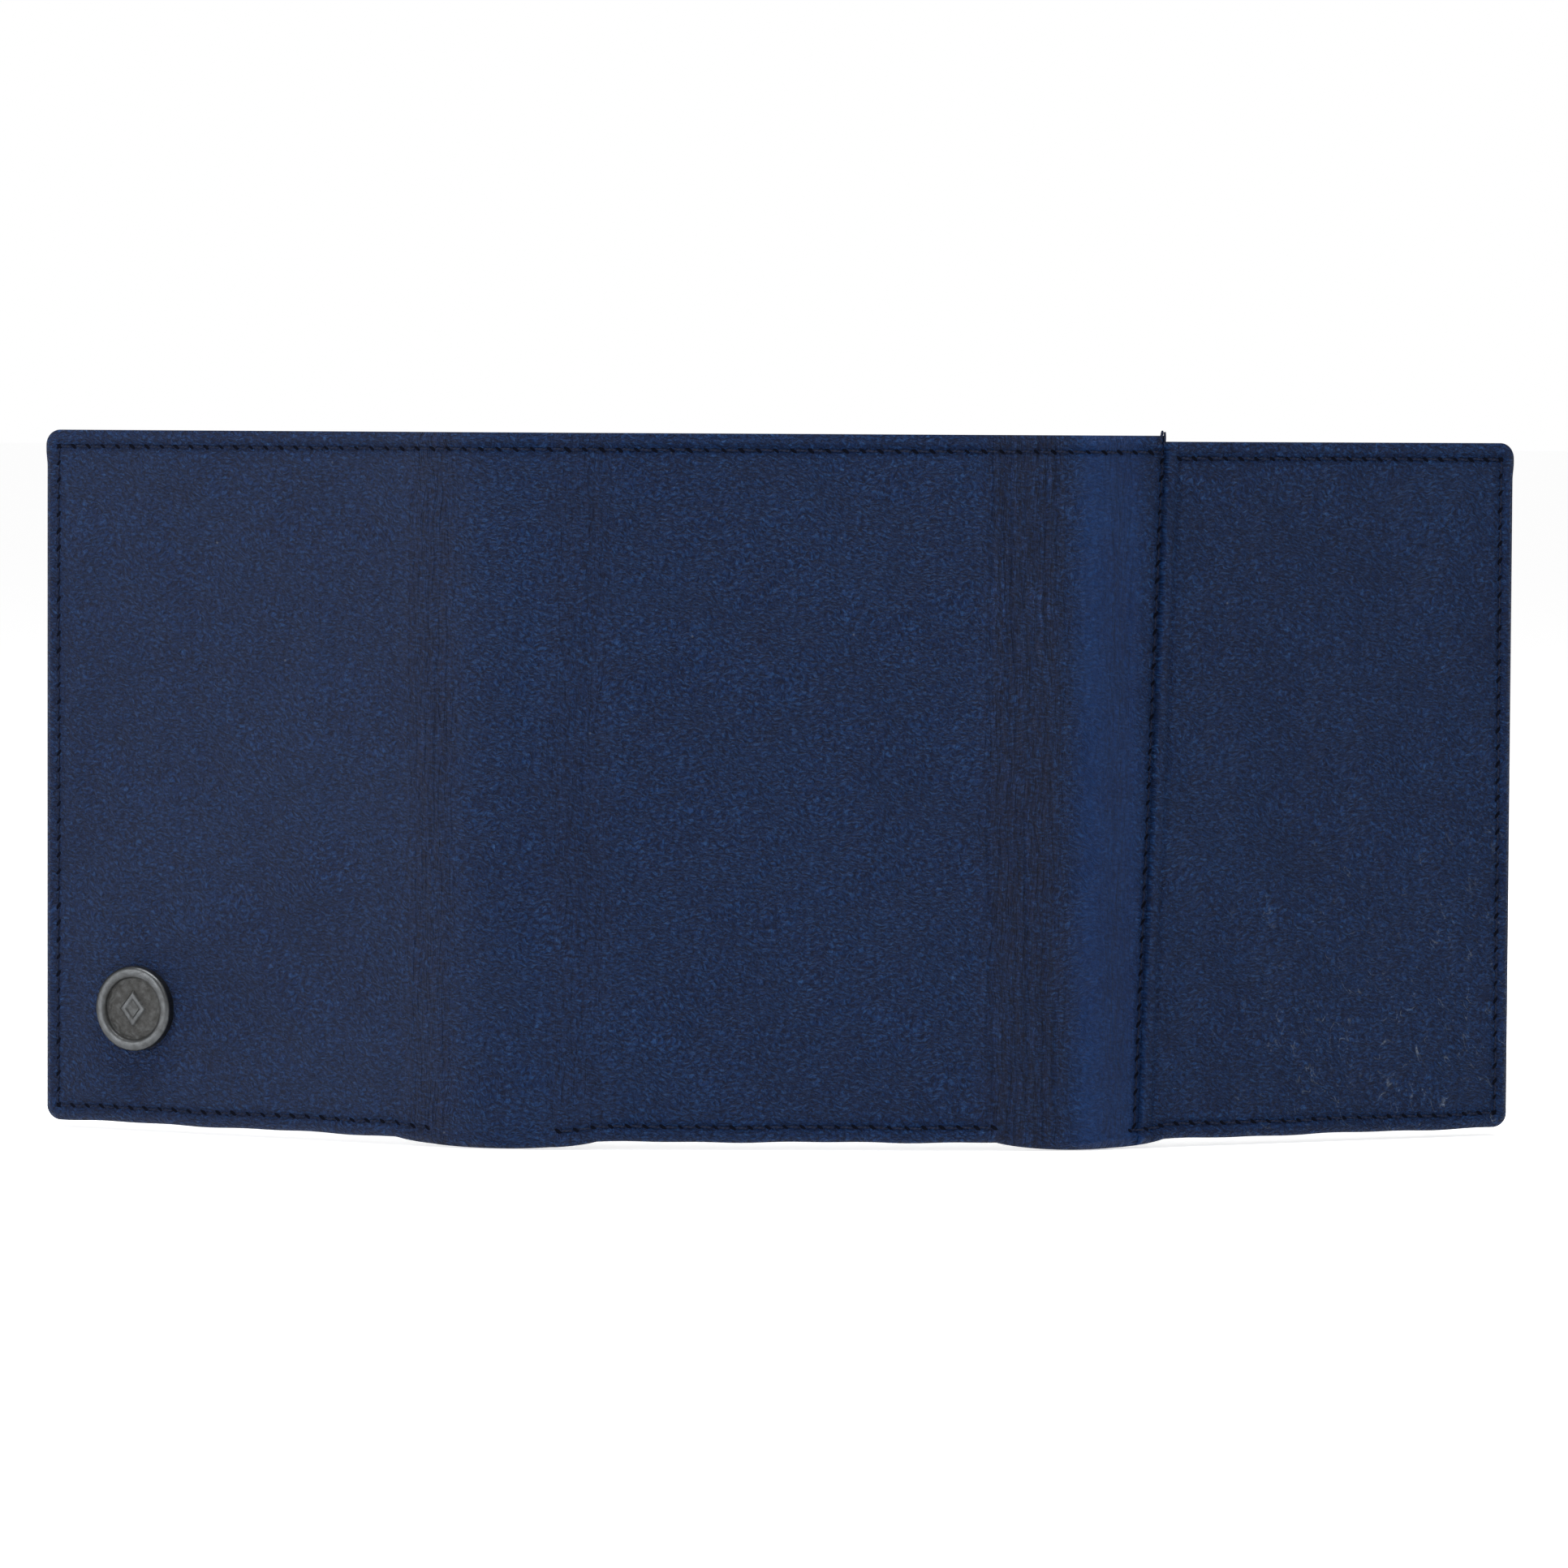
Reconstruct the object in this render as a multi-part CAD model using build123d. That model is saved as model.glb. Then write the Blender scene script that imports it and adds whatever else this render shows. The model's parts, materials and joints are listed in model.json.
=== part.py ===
from build123d import *
import math
import os

# Trifold wallet, half open. Lengths are millimetres, angles degrees.
# The wallet is drawn flat first, lying open like its cutting pattern: x runs along the outer leather, z is up, and
# depth is counted inward from the outer face. Each body is then folded about its two crease lines to the rest pose.

# Overall sizes
height = 103.2
centre_width = 63.0
left_width = 64.5
right_width = 63.0
fold_gap = 19.5
corner_radius = 2.3

# Layers, from the outside in
skin_thickness = 0.6
board_thickness = 0.3
lining_thickness = 0.15
bill_gap = 0.7
base_thickness = 0.5
pocket_thickness = 0.5
pocket_gap = 0.1
film_thickness = 0.25
turn_thickness = 0.5

# How the folds are built and how far open the wallet stands
spine_left = 12.0
spine_right = 7.0
rest_fold_left = 27.0
rest_fold_right = 21.0
crease_clearance = 0.15
layer_clearance = 0.05

# Edges and seams
turn_width = 4.5
board_inset = 1.6
stitch_inset = 2.4
stitch_pitch = 2.5
stitch_length = 1.9
thread_diameter = 0.45
joined_drop = 0.85
seam_foot_offset = 2.1
seam_lean = 3.8
seam_clearance = 0.1
seam_ridge_width = 1.8
seam_ridge_height = 0.25
seam_stitch_offset = 0.5

# Inside
base_drop = 6.0
pocket_count = 3
pocket_step = 10.0
front_pocket_height = 66.0
pocket_margin = 0.5
pocket_stitch_inset = 1.8
window_frame_height = 80.0
window_border = 7.0
film_overlap = 3.0

# Emblem rivet
emblem_diameter = 12.5
emblem_height = 1.7
emblem_rim = 1.7
emblem_recess = 0.7
emblem_from_edge = 16.0
emblem_from_bottom = 18.0
motif_across = 4.6
motif_height = 0.45
post_diameter = 2.0
post_clearance = 0.05
post_head_diameter = 3.2
post_head_height = 0.25
washer_diameter = 7.0
washer_thickness = 0.3

# Depths of the layers' faces
board_depth = skin_thickness
lining_depth = board_depth + board_thickness
bill_depth = lining_depth + lining_thickness
base_depth = bill_depth + bill_gap
inner_depth = base_depth + base_thickness
edge_depth = inner_depth + turn_thickness
crease_depth = skin_thickness

# The standing edge is centred on y = 0
outer_y = -edge_depth / 2

# Places along the flat pattern
centre_half = centre_width / 2
crease_margin_left = (fold_gap - spine_left) / 2
crease_margin_right = (fold_gap - spine_right) / 2
crease_left_inner = -(centre_half + crease_margin_left)
crease_left_outer = crease_left_inner - spine_left
left_start = -(centre_half + fold_gap)
left_end = left_start - left_width
crease_right_inner = centre_half + crease_margin_right
crease_right_outer = crease_right_inner + spine_right
right_start = centre_half + fold_gap
right_end = right_start + right_width
layer_setback = edge_depth - crease_depth + crease_clearance
base_top = height - base_drop
joined_height = height - joined_drop

half_turn_left = rest_fold_left / 2
half_turn_right = rest_fold_right / 2


def slab(x0, x1, near, far, low, high):
    """A flat piece between two x, two depths and two heights."""
    corner = Pos(min(x0, x1), outer_y + near, low)
    return corner * Box(abs(x1 - x0), far - near, high - low, align=(Align.MIN, Align.MIN, Align.MIN))


def upright_plate(outline, near, far):
    """A flat piece of any outline, given as (x, z) corners, between two depths."""
    face = make_face(Polyline(*[(x, 0, z) for x, z in outline], close=True))
    plate = extrude(face, amount=far - near, dir=(0, 1, 0))
    return Pos(0, outer_y + near, 0) * plate


def round_corners(shape, at_x, radius):
    """Rounds the corners of a plate at its free edge, seen from the front."""
    across = shape.edges().filter_by(Axis.Y)
    corners = [edge for edge in across if abs(edge.center().X - at_x) < radius / 2]
    return fillet(corners, radius)


def turn(x, crease_x, degrees, side):
    """Plan rotation about one crease line: side -1 closes the left half inward, +1 the right half."""
    centre = (crease_x, outer_y + crease_depth, 0)
    return Pos(*centre) * Rot(0, 0, side * degrees) * Pos(-centre[0], -centre[1], 0) * x


def fold_left(shape, creases):
    """Folds a flat piece of the left side about one or both of its creases."""
    if creases == 2:
        shape = turn(shape, crease_left_outer, half_turn_left, -1)
    return turn(shape, crease_left_inner, half_turn_left, -1)


def fold_right(shape, creases):
    """Folds a flat piece of the right side about one or both of its creases."""
    if creases == 2:
        shape = turn(shape, crease_right_outer, half_turn_right, 1)
    return turn(shape, crease_right_inner, half_turn_right, 1)


def single_stitch(facing):
    """One stitch lying along x on a face at y = 0, standing out toward -y (facing -1) or +y (facing 1)."""
    radius = thread_diameter / 2
    bow = CenterArc((0, 0), radius, -90 * facing, 180)
    chord = Line((0, -radius), (0, radius))
    section = Plane.YZ * make_face([bow, chord])
    return extrude(section, amount=stitch_length / 2, both=True)


def stitch_row(x0, z0, x1, z1, depth, facing):
    """A row of stitches between two points on one face."""
    length = math.hypot(x1 - x0, z1 - z0)
    count = max(1, int(length / stitch_pitch))
    slant = math.degrees(math.atan2(z1 - z0, x1 - x0))
    stitch = single_stitch(facing)
    row = []
    for number in range(count):
        share = (number + 0.5) / count
        place = Pos(x0 + (x1 - x0) * share, outer_y + depth, z0 + (z1 - z0) * share)
        row.append(place * Rot(0, -slant, 0) * stitch)
    return row


def through_row(x0, z0, x1, z1, inner_face):
    """A row sewn right through: the same stitches on the outer face and on an inner one."""
    return stitch_row(x0, z0, x1, z1, 0, -1) + stitch_row(x0, z0, x1, z1, inner_face, 1)


def top_turn(x0, x1, top):
    """The skin's top edge rolled over the board and lining."""
    back = bill_depth + turn_thickness
    over = slab(x0, x1, board_depth, back, top - turn_thickness, top)
    return over + slab(x0, x1, bill_depth, back, top - turn_width, top)


def bottom_turn(x0, x1):
    """The skin's bottom edge rolled under every layer and up the inside."""
    under = slab(x0, x1, board_depth, edge_depth, 0, turn_thickness)
    return under + slab(x0, x1, inner_depth, edge_depth, 0, turn_width)


def side_turn(edge_x, toward, top):
    """The skin's free side edge rolled round every layer, between the top and bottom turns."""
    low = turn_width + layer_clearance
    high = top - turn_width - layer_clearance
    inside_x = edge_x + toward * turn_thickness
    around = slab(edge_x, inside_x, board_depth, edge_depth, low, high)
    return around + slab(edge_x, edge_x + toward * turn_width, inner_depth, edge_depth, low, high)


def skin_plate(x0, x1, top):
    """Outer leather between two x."""
    return slab(x0, x1, 0, skin_thickness, 0, top)


def board_plate(x0, x1, top):
    """The stiff paper board behind the outer leather, cut shorter than the hide so that the edges roll softly."""
    return slab(x0, x1, board_depth, lining_depth, board_inset, top - board_inset)


def lining_plate(x0, x1, top):
    """The cloth that lines the outer wall of the bill compartment."""
    edge = turn_thickness + layer_clearance
    return slab(x0, x1, lining_depth, bill_depth, edge, top - edge)


def base_plate(x0, x1):
    """The inner leather wall of the bill compartment."""
    return slab(x0, x1, base_depth, inner_depth, turn_thickness + layer_clearance, base_top)


def pocket_face(number):
    """Depth of the outer side of one card pocket, counted from the base outward."""
    return inner_depth + pocket_gap + number * (pocket_thickness + pocket_gap)


def card_pocket(x0, x1, number):
    """One upright card pocket: a leather leaf, stepped down from the one behind it."""
    low = turn_width + pocket_margin
    top = front_pocket_height + (pocket_count - 1 - number) * pocket_step
    near = pocket_face(number)
    return slab(x0, x1, near, near + pocket_thickness, low, top)


def pocket_rows(x0, x1):
    """The stitches down both sides and along the foot of the front pocket."""
    face = pocket_face(pocket_count - 1) + pocket_thickness
    low = turn_width + pocket_margin + pocket_stitch_inset
    left_x = min(x0, x1) + pocket_stitch_inset
    right_x = max(x0, x1) - pocket_stitch_inset
    rows = stitch_row(left_x, low, right_x, low, face, 1)
    rows += stitch_row(left_x, low + stitch_pitch, left_x, front_pocket_height, face, 1)
    return rows + stitch_row(right_x, low + stitch_pitch, right_x, front_pocket_height, face, 1)


def rivet_place():
    """The rivet's centre on the outer face of the flat left panel."""
    return Pos(left_end + emblem_from_edge, outer_y, emblem_from_bottom)


def round_through(diameter, near, far):
    """A round bar along the rivet's axis, between two depths."""
    bar = Cylinder(diameter / 2, far - near, align=(Align.CENTER, Align.CENTER, Align.MIN))
    return rivet_place() * Pos(0, near, 0) * Rot(-90, 0, 0) * bar


def pierced(shape):
    """A layer with the rivet's hole through it."""
    return shape - round_through(post_diameter + 2 * post_clearance, -1, base_depth)


def emblem_cap():
    """Round cap with a raised rim, a sunken field and a plain lozenge standing in the field."""
    radius = emblem_diameter / 2
    recess_radius = radius - emblem_rim
    cap = round_through(emblem_diameter, -emblem_height, 0)
    outer_rim = cap.edges().filter_by(GeomType.CIRCLE).sort_by(Axis.Y)[0]
    cap = fillet(outer_rim, emblem_rim / 3)
    cap -= round_through(2 * recess_radius, -emblem_height, -emblem_height + emblem_recess)
    lozenge = extrude(Plane.XZ * RegularPolygon(motif_across / 2, 4), amount=motif_height)
    return cap + rivet_place() * Pos(0, -emblem_height + emblem_recess, 0) * lozenge


def emblem_post():
    """The post behind the cap, with its end spread over the washer."""
    end = bill_depth + washer_thickness
    post = round_through(post_diameter, 0, end)
    return post + round_through(post_head_diameter, end, end + post_head_height)


def emblem_washer():
    """The washer that the post is spread over, in the bill compartment."""
    ring = round_through(washer_diameter, bill_depth, bill_depth + washer_thickness)
    return ring - round_through(post_diameter + 2 * post_clearance, bill_depth, base_depth)


def seam_x(z):
    """Where the joining seam crosses a height: it leans away from the fold toward the top."""
    return right_start + seam_foot_offset + seam_lean * z / height


def id_window():
    """The leather frame and the clear film of the identity-card window."""
    low = turn_width + pocket_margin
    near = inner_depth + pocket_gap + film_thickness
    far = near + pocket_thickness
    opening_low = low + window_border
    opening_high = window_frame_height - window_border
    opening_x = centre_half - window_border
    frame = slab(-centre_half, centre_half, near, far, low, window_frame_height)
    frame -= slab(-opening_x, opening_x, near, far, opening_low, opening_high)
    over = film_overlap
    film = slab(-opening_x - over, opening_x + over, near - film_thickness, near, opening_low - over, opening_high + over)
    gap = layer_clearance
    film += slab(-opening_x + gap, opening_x - gap, near, far - gap, opening_low + gap, opening_high - gap)
    return frame, film


def window_rows():
    """The stitches down both sides and along the foot of the window frame."""
    face = inner_depth + pocket_gap + film_thickness + pocket_thickness
    low = turn_width + pocket_margin + pocket_stitch_inset
    side = centre_half - pocket_stitch_inset
    rows = stitch_row(-side, low, side, low, face, 1)
    for x in (-side, side):
        rows += stitch_row(x, low + stitch_pitch, x, window_frame_height, face, 1)
    return rows


def centre_panel():
    """Everything that belongs to the middle panel."""
    outer_left = crease_left_inner + crease_clearance
    outer_right = crease_right_inner - crease_clearance
    inner_left = crease_left_inner + layer_setback
    inner_right = crease_right_inner - layer_setback
    frame, film = id_window()
    top_row = height - stitch_inset
    return {
        "outer_skin_centre": [skin_plate(outer_left, outer_right, height)],
        "turned_edges_centre": [top_turn(inner_left, inner_right, height), bottom_turn(inner_left, inner_right)],
        "stiffener_board_centre": [board_plate(inner_left, inner_right, height)],
        "bill_lining_centre": [lining_plate(inner_left, inner_right, height)],
        "inner_base_centre": [base_plate(inner_left, inner_right)],
        "id_window_frame": [frame],
        "id_window_film": [film],
        "stitches_top_centre": through_row(
            inner_left, top_row, inner_right, top_row, bill_depth + turn_thickness
        ),
        "stitches_bottom_centre": through_row(
            -centre_half, stitch_inset, centre_half, stitch_inset, edge_depth
        ),
        "stitches_id_window": window_rows(),
    }


def left_panel():
    """Everything on the left panel, drawn flat."""
    outer = crease_left_outer - crease_clearance
    inner = crease_left_outer - layer_setback
    lined = left_end + turn_thickness + layer_clearance
    pocket_left = left_end + turn_width + pocket_margin
    top_row = height - stitch_inset
    side_row = left_end + stitch_inset
    top_face = bill_depth + turn_thickness
    skin = round_corners(skin_plate(left_end, outer, height), left_end, corner_radius)
    row_start = left_end + corner_radius
    pieces = {
        "outer_skin_left": [pierced(skin)],
        "turned_edges_left": [
            top_turn(left_end + corner_radius, inner, height),
            bottom_turn(left_end + corner_radius, inner),
            side_turn(left_end, 1, height),
        ],
        "stiffener_board_left": [pierced(board_plate(lined, inner, height - corner_radius))],
        "bill_lining_left": [pierced(lining_plate(lined, inner, height - corner_radius))],
        "inner_base_left": [base_plate(lined, inner)],
        "emblem_cap": [emblem_cap()],
        "emblem_post": [emblem_post()],
        "emblem_washer": [emblem_washer()],
        "stitches_top_left": through_row(row_start, top_row, inner, top_row, top_face),
        "stitches_bottom_left": through_row(row_start, stitch_inset, left_start, stitch_inset, edge_depth),
        "stitches_side_left": through_row(
            side_row, turn_width + corner_radius, side_row, height - turn_width - corner_radius, edge_depth
        ),
        "stitches_pockets_left": pocket_rows(pocket_left, left_start),
    }
    for number, layer in enumerate(("back", "middle", "front")):
        pieces[f"card_pocket_left_{layer}"] = [card_pocket(pocket_left, left_start, number)]
    return pieces


def right_panel():
    """Everything on the right panel, drawn flat: its outer leather is two pieces joined by the leaning seam."""
    outer = crease_right_outer + crease_clearance
    inner = crease_right_outer + layer_setback
    lined = right_end - turn_thickness - layer_clearance
    pocket_right = right_end - turn_width - pocket_margin
    ridge_foot = seam_x(0) + seam_clearance
    ridge_head = seam_x(joined_height) + seam_clearance
    skin = upright_plate(
        [(ridge_foot, 0), (right_end, 0), (right_end, joined_height), (ridge_head, joined_height)],
        0,
        skin_thickness,
    )
    skin = round_corners(skin, right_end, corner_radius)
    ridge = upright_plate(
        [
            (ridge_foot, 0),
            (ridge_foot + seam_ridge_width, 0),
            (ridge_head + seam_ridge_width, joined_height),
            (ridge_head, joined_height),
        ],
        -seam_ridge_height,
        0,
    )
    band = upright_plate([(outer, 0), (seam_x(0), 0), (seam_x(height), height), (outer, height)], 0, skin_thickness)
    top_row = joined_height - stitch_inset
    side_row = right_end - stitch_inset
    row_end = right_end - corner_radius
    row_start = seam_x(height) + seam_ridge_width + thread_diameter
    top_face = bill_depth + turn_thickness
    sewn = seam_stitch_offset
    pieces = {
        "outer_skin_right": [skin + ridge],
        "outer_skin_seam_band": [band],
        "turned_edges_right": [
            top_turn(inner, seam_x(height), height),
            top_turn(seam_x(height) + layer_clearance, right_end - corner_radius, joined_height),
            bottom_turn(inner, right_end - corner_radius),
            side_turn(right_end, -1, joined_height),
        ],
        "stiffener_board_right": [board_plate(inner, lined, joined_height - corner_radius)],
        "bill_lining_right": [lining_plate(inner, lined, joined_height - corner_radius)],
        "inner_base_right": [base_plate(inner, lined)],
        "stitches_top_right": through_row(row_start, top_row, row_end, top_row, top_face),
        "stitches_bottom_right": through_row(
            seam_x(0) + seam_ridge_width + thread_diameter, stitch_inset, row_end, stitch_inset, edge_depth
        ),
        "stitches_side_right": through_row(
            side_row, turn_width + corner_radius, side_row, joined_height - turn_width - corner_radius, edge_depth
        ),
        "stitches_joining_seam": stitch_row(
            seam_x(0) - sewn, stitch_inset / 2, seam_x(height) - sewn, height - stitch_inset / 2, 0, -1
        ),
        "stitches_pockets_right": pocket_rows(right_start, pocket_right),
    }
    for number, layer in enumerate(("back", "middle", "front")):
        pieces[f"card_pocket_right_{layer}"] = [card_pocket(right_start, pocket_right, number)]
    return pieces


def fold_strips(side, crease_a, crease_b):
    """The leather and cloth between two creases, drawn flat."""
    low_x = min(crease_a, crease_b)
    high_x = max(crease_a, crease_b)
    outer = (low_x + crease_clearance, high_x - crease_clearance)
    inner = (low_x + layer_setback, high_x - layer_setback)
    top_row = height - stitch_inset
    return {
        f"outer_fold_{side}": [skin_plate(*outer, height)],
        f"turned_edges_fold_{side}": [top_turn(*inner, height), bottom_turn(*inner)],
        f"bill_lining_fold_{side}": [lining_plate(*inner, height)],
        f"inner_fold_{side}": [base_plate(*inner)],
        f"stitches_top_fold_{side}": through_row(
            inner[0], top_row, inner[1], top_row, bill_depth + turn_thickness
        ),
    }


def folded_wallet():
    """Every node at the rest pose."""
    nodes = dict(centre_panel())
    for name, solids in fold_strips("left", crease_left_inner, crease_left_outer).items():
        nodes[name] = [fold_left(solid, 1) for solid in solids]
    for name, solids in left_panel().items():
        nodes[name] = [fold_left(solid, 2) for solid in solids]
    for name, solids in fold_strips("right", crease_right_inner, crease_right_outer).items():
        nodes[name] = [fold_right(solid, 1) for solid in solids]
    for name, solids in right_panel().items():
        nodes[name] = [fold_right(solid, 2) for solid in solids]
    return nodes


os.makedirs("parts", exist_ok=True)
for name, solids in folded_wallet().items():
    node = solids[0] if len(solids) == 1 else Compound(children=solids)
    export_step(node, f"parts/{name}.step")
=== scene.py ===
# %% [markdown]
# # A trifold wallet in navy leather
# The wallet stands half open on its long edge. Its joints and hard parts come ready made as a fixed frame,
# and this lesson dresses them: rolled leather edges, sewn seams, soft folds, a cloth lining, card pockets
# and a metal rivet. The frame is loaded first, so that every later place can be read from it.

# %% Load the frame
import json
import math

import bmesh
import bpy
import numpy as np
from mathutils import Matrix, Vector


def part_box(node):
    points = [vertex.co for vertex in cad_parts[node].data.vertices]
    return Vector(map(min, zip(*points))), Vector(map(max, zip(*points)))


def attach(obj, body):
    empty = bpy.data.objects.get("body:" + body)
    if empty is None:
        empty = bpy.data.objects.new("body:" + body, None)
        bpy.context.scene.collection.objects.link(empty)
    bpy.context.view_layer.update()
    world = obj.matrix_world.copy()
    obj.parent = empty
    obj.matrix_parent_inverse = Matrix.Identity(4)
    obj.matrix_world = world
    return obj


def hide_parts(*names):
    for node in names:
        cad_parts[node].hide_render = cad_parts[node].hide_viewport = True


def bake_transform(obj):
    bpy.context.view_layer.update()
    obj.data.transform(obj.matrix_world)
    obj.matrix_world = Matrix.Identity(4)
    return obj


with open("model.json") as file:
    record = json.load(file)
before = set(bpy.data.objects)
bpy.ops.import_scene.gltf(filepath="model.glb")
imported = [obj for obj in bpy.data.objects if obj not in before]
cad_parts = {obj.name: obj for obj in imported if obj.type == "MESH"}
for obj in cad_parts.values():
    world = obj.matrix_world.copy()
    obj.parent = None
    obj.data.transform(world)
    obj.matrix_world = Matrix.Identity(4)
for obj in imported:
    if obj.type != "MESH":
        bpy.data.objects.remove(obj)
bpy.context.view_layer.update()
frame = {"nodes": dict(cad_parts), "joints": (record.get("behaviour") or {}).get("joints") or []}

mm = 0.001

# %% [markdown]
# ## The plan of the folds
# A leather fold isn't a sharp kink: it is a soft curve as long as the space that is left unsewn. The frame
# has two creases in each fold. Every crease becomes a short arc that leaves both straight stretches exactly
# where the frame has them, so a bent sheet and the stiff parts inside it always agree.

# %% Read the creases
joints = {joint["name"]: joint for joint in frame["joints"]}
outer_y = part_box("outer_skin_centre")[0].y
crease_y = joints["left_inner_fold"]["pos_m"][1]
crease_depth = crease_y - outer_y
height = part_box("outer_skin_centre")[1].z
soft_half = 3.4 * mm


def read_fold(side, sign):
    """Crease places along the flat leather, the turn at each crease and the arc's half length."""
    inner = Vector(joints[f"{side}_inner_fold"]["pos_m"])
    outer = Vector(joints[f"{side}_outer_fold"]["pos_m"])
    spacing = (outer - inner).length
    turn = -math.radians(joints[f"{side}_inner_fold"]["range_deg"][0])
    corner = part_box(f"outer_skin_{side}")[0 if sign < 0 else 1].x
    reach = (abs(corner - outer.x) - crease_depth * math.sin(2 * turn)) / math.cos(2 * turn)
    half_arc = min(spacing / 2, soft_half)
    return dict(sign=sign, first=abs(inner.x), spacing=spacing, turn=turn, half_arc=half_arc, reach=reach)


left_fold = read_fold("left", -1)
right_fold = read_fold("right", 1)
left_end = -(left_fold["first"] + left_fold["spacing"] + left_fold["reach"])
right_end = right_fold["first"] + right_fold["spacing"] + right_fold["reach"]
print("leather runs from", round(left_end, 4), "to", round(right_end, 4))


def plan(s, fold):
    """Plan position and heading of the crease line at distances s from the middle, on one side."""
    u = np.abs(s)
    turn, half = fold["turn"], fold["half_arc"]
    radius = half / math.tan(turn / 2)
    x, y, heading = u.copy(), np.full_like(u, crease_y), np.zeros_like(u)
    base = np.array([fold["first"], crease_y])
    for number in range(2):
        start_turn = number * turn
        along = np.array([math.cos(start_turn), math.sin(start_turn)])
        inward = np.array([-along[1], along[0]])
        place_on = fold["first"] + number * fold["spacing"]
        share = np.clip((u - place_on + half) / (2 * half), 0, 1)
        phi = turn * share
        begin = base - half * along
        bent = u > place_on - half
        step = radius * np.sin(phi)
        rise = radius * (1 - np.cos(phi))
        end_turn = start_turn + turn
        past = np.maximum(u - place_on - half, 0)
        arc_x = begin[0] + step * along[0] + rise * inward[0] + past * math.cos(end_turn)
        arc_y = begin[1] + step * along[1] + rise * inward[1] + past * math.sin(end_turn)
        x, y = np.where(bent, arc_x, x), np.where(bent, arc_y, y)
        heading = np.where(bent, start_turn + phi, heading)
        base = base + fold["spacing"] * np.array([math.cos(end_turn), math.sin(end_turn)])
    return x, y, heading


def place(s, depth, z):
    """Flat leather coordinates to the frame: s along the outside, depth inward from the outer face, z up."""
    s, depth, z = np.broadcast_arrays(*(np.asarray(v, float) for v in (s, depth, z)))
    points = np.zeros(s.shape + (3,))
    for fold in (left_fold, right_fold):
        x, y, heading = plan(s, fold)
        offset = depth - crease_depth
        here = (s * fold["sign"] > 0) | ((s == 0) & (fold["sign"] > 0))
        points[here, 0] = (fold["sign"] * (x - np.sin(heading) * offset))[here]
        points[here, 1] = (y + np.cos(heading) * offset)[here]
    points[..., 2] = z
    return points


# %% [markdown]
# ## Where the sewing runs
# The needle lines shape the leather as much as the cut does: a lockstitch pulls a groove, the hem outside it
# stays round, and every hole is a small slanted dent. Each row is written once, as a line on the flat
# leather, and both the dents and the threads are made from it.

# %% Sizes of hems and sewing
panel_half = 31.5 * mm
fold_gap = 19.5 * mm
stitch_inset = 2.4 * mm
pitch = 2.5 * mm
corner = 2.3 * mm
joined_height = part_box("outer_skin_right")[1].z
seam_foot = panel_half + fold_gap + 2.1 * mm
seam_lean = 3.8 * mm
needle_off = 0.45 * mm
side_thickness = 2.75 * mm
top_thickness = 1.6 * mm


def seam_at(z):
    """Where the joining seam crosses a height."""
    return seam_foot + seam_lean * z / height


def bell(offset, width):
    """A smooth rise and fall around an offset of 0."""
    return np.exp(-((offset / width) ** 2))


class Row:
    """A straight row of lockstitches on flat leather, from one end hole to the other."""

    def __init__(self, s0, z0, s1, z1):
        self.start = np.array([s0, z0])
        span = np.array([s1 - s0, z1 - z0])
        self.length = float(np.hypot(*span))
        self.along = span / self.length
        self.across = np.array([-self.along[1], self.along[0]])
        self.count = max(1, round(self.length / pitch))
        self.pitch = self.length / self.count

    def measure(self, s, z):
        """Distance along the row and across it."""
        ds, dz = s - self.start[0], z - self.start[1]
        return ds * self.along[0] + dz * self.along[1], ds * self.across[0] + dz * self.across[1]

    def dent(self, s, z, strength=1.0):
        """How far the leather is pulled in: a groove, deeper at every hole, with faint puckers beside it."""
        along, across = self.measure(s, z)
        ends = np.clip(along / pitch + 0.5, 0, 1) * np.clip((self.length - along) / pitch + 0.5, 0, 1)
        wave = 0.5 + 0.5 * np.cos(2 * np.pi * along / self.pitch)
        groove, pucker = bell(across, 0.62 * mm), bell(across, 1.7 * mm)
        return strength * ends * mm * (groove * (0.17 + 0.10 * wave) + 0.055 * pucker * wave)


left_line, right_line = left_end + stitch_inset, right_end - stitch_inset
top_line, joined_line = height - stitch_inset, joined_height - stitch_inset
outer_rows = {
    "top": Row(left_line, top_line, seam_at(height), top_line),
    "top_right": Row(seam_at(height) + 2 * mm, joined_line, right_line, joined_line),
    "bottom_left": Row(left_line, stitch_inset, -panel_half - fold_gap, stitch_inset),
    "bottom_centre": Row(-panel_half, stitch_inset, panel_half, stitch_inset),
    "bottom_right": Row(seam_foot - 1.2 * mm, stitch_inset, right_line, stitch_inset),
    "side_left": Row(left_line, stitch_inset, left_line, top_line),
    "side_right": Row(right_line, stitch_inset, right_line, joined_line),
    "seam": Row(seam_foot - needle_off, 3.0 * mm, seam_at(height) - needle_off, height - 1.2 * mm),
}
print({name: row.count for name, row in outer_rows.items()})

# %% [markdown]
# ## How the leather swells and sags
# Flat panels look like card. Real panels have slow swells from the board and the cards, fine upright creases
# where the folds work, and a hem that hangs a little lower between the sewn runs because nothing pulls it up
# there. All of it is a small change of depth over the flat leather, so one function can shape every outer
# piece.

# %% Swells, creases and the sagging hem
rng = np.random.default_rng(7)
cycle = 6.28
swell_ranges = ((35, 120), (25, 90), (0, cycle), (0, cycle))
swells = [[rng.uniform(*span) for span in swell_ranges] for _ in range(7)]


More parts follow.
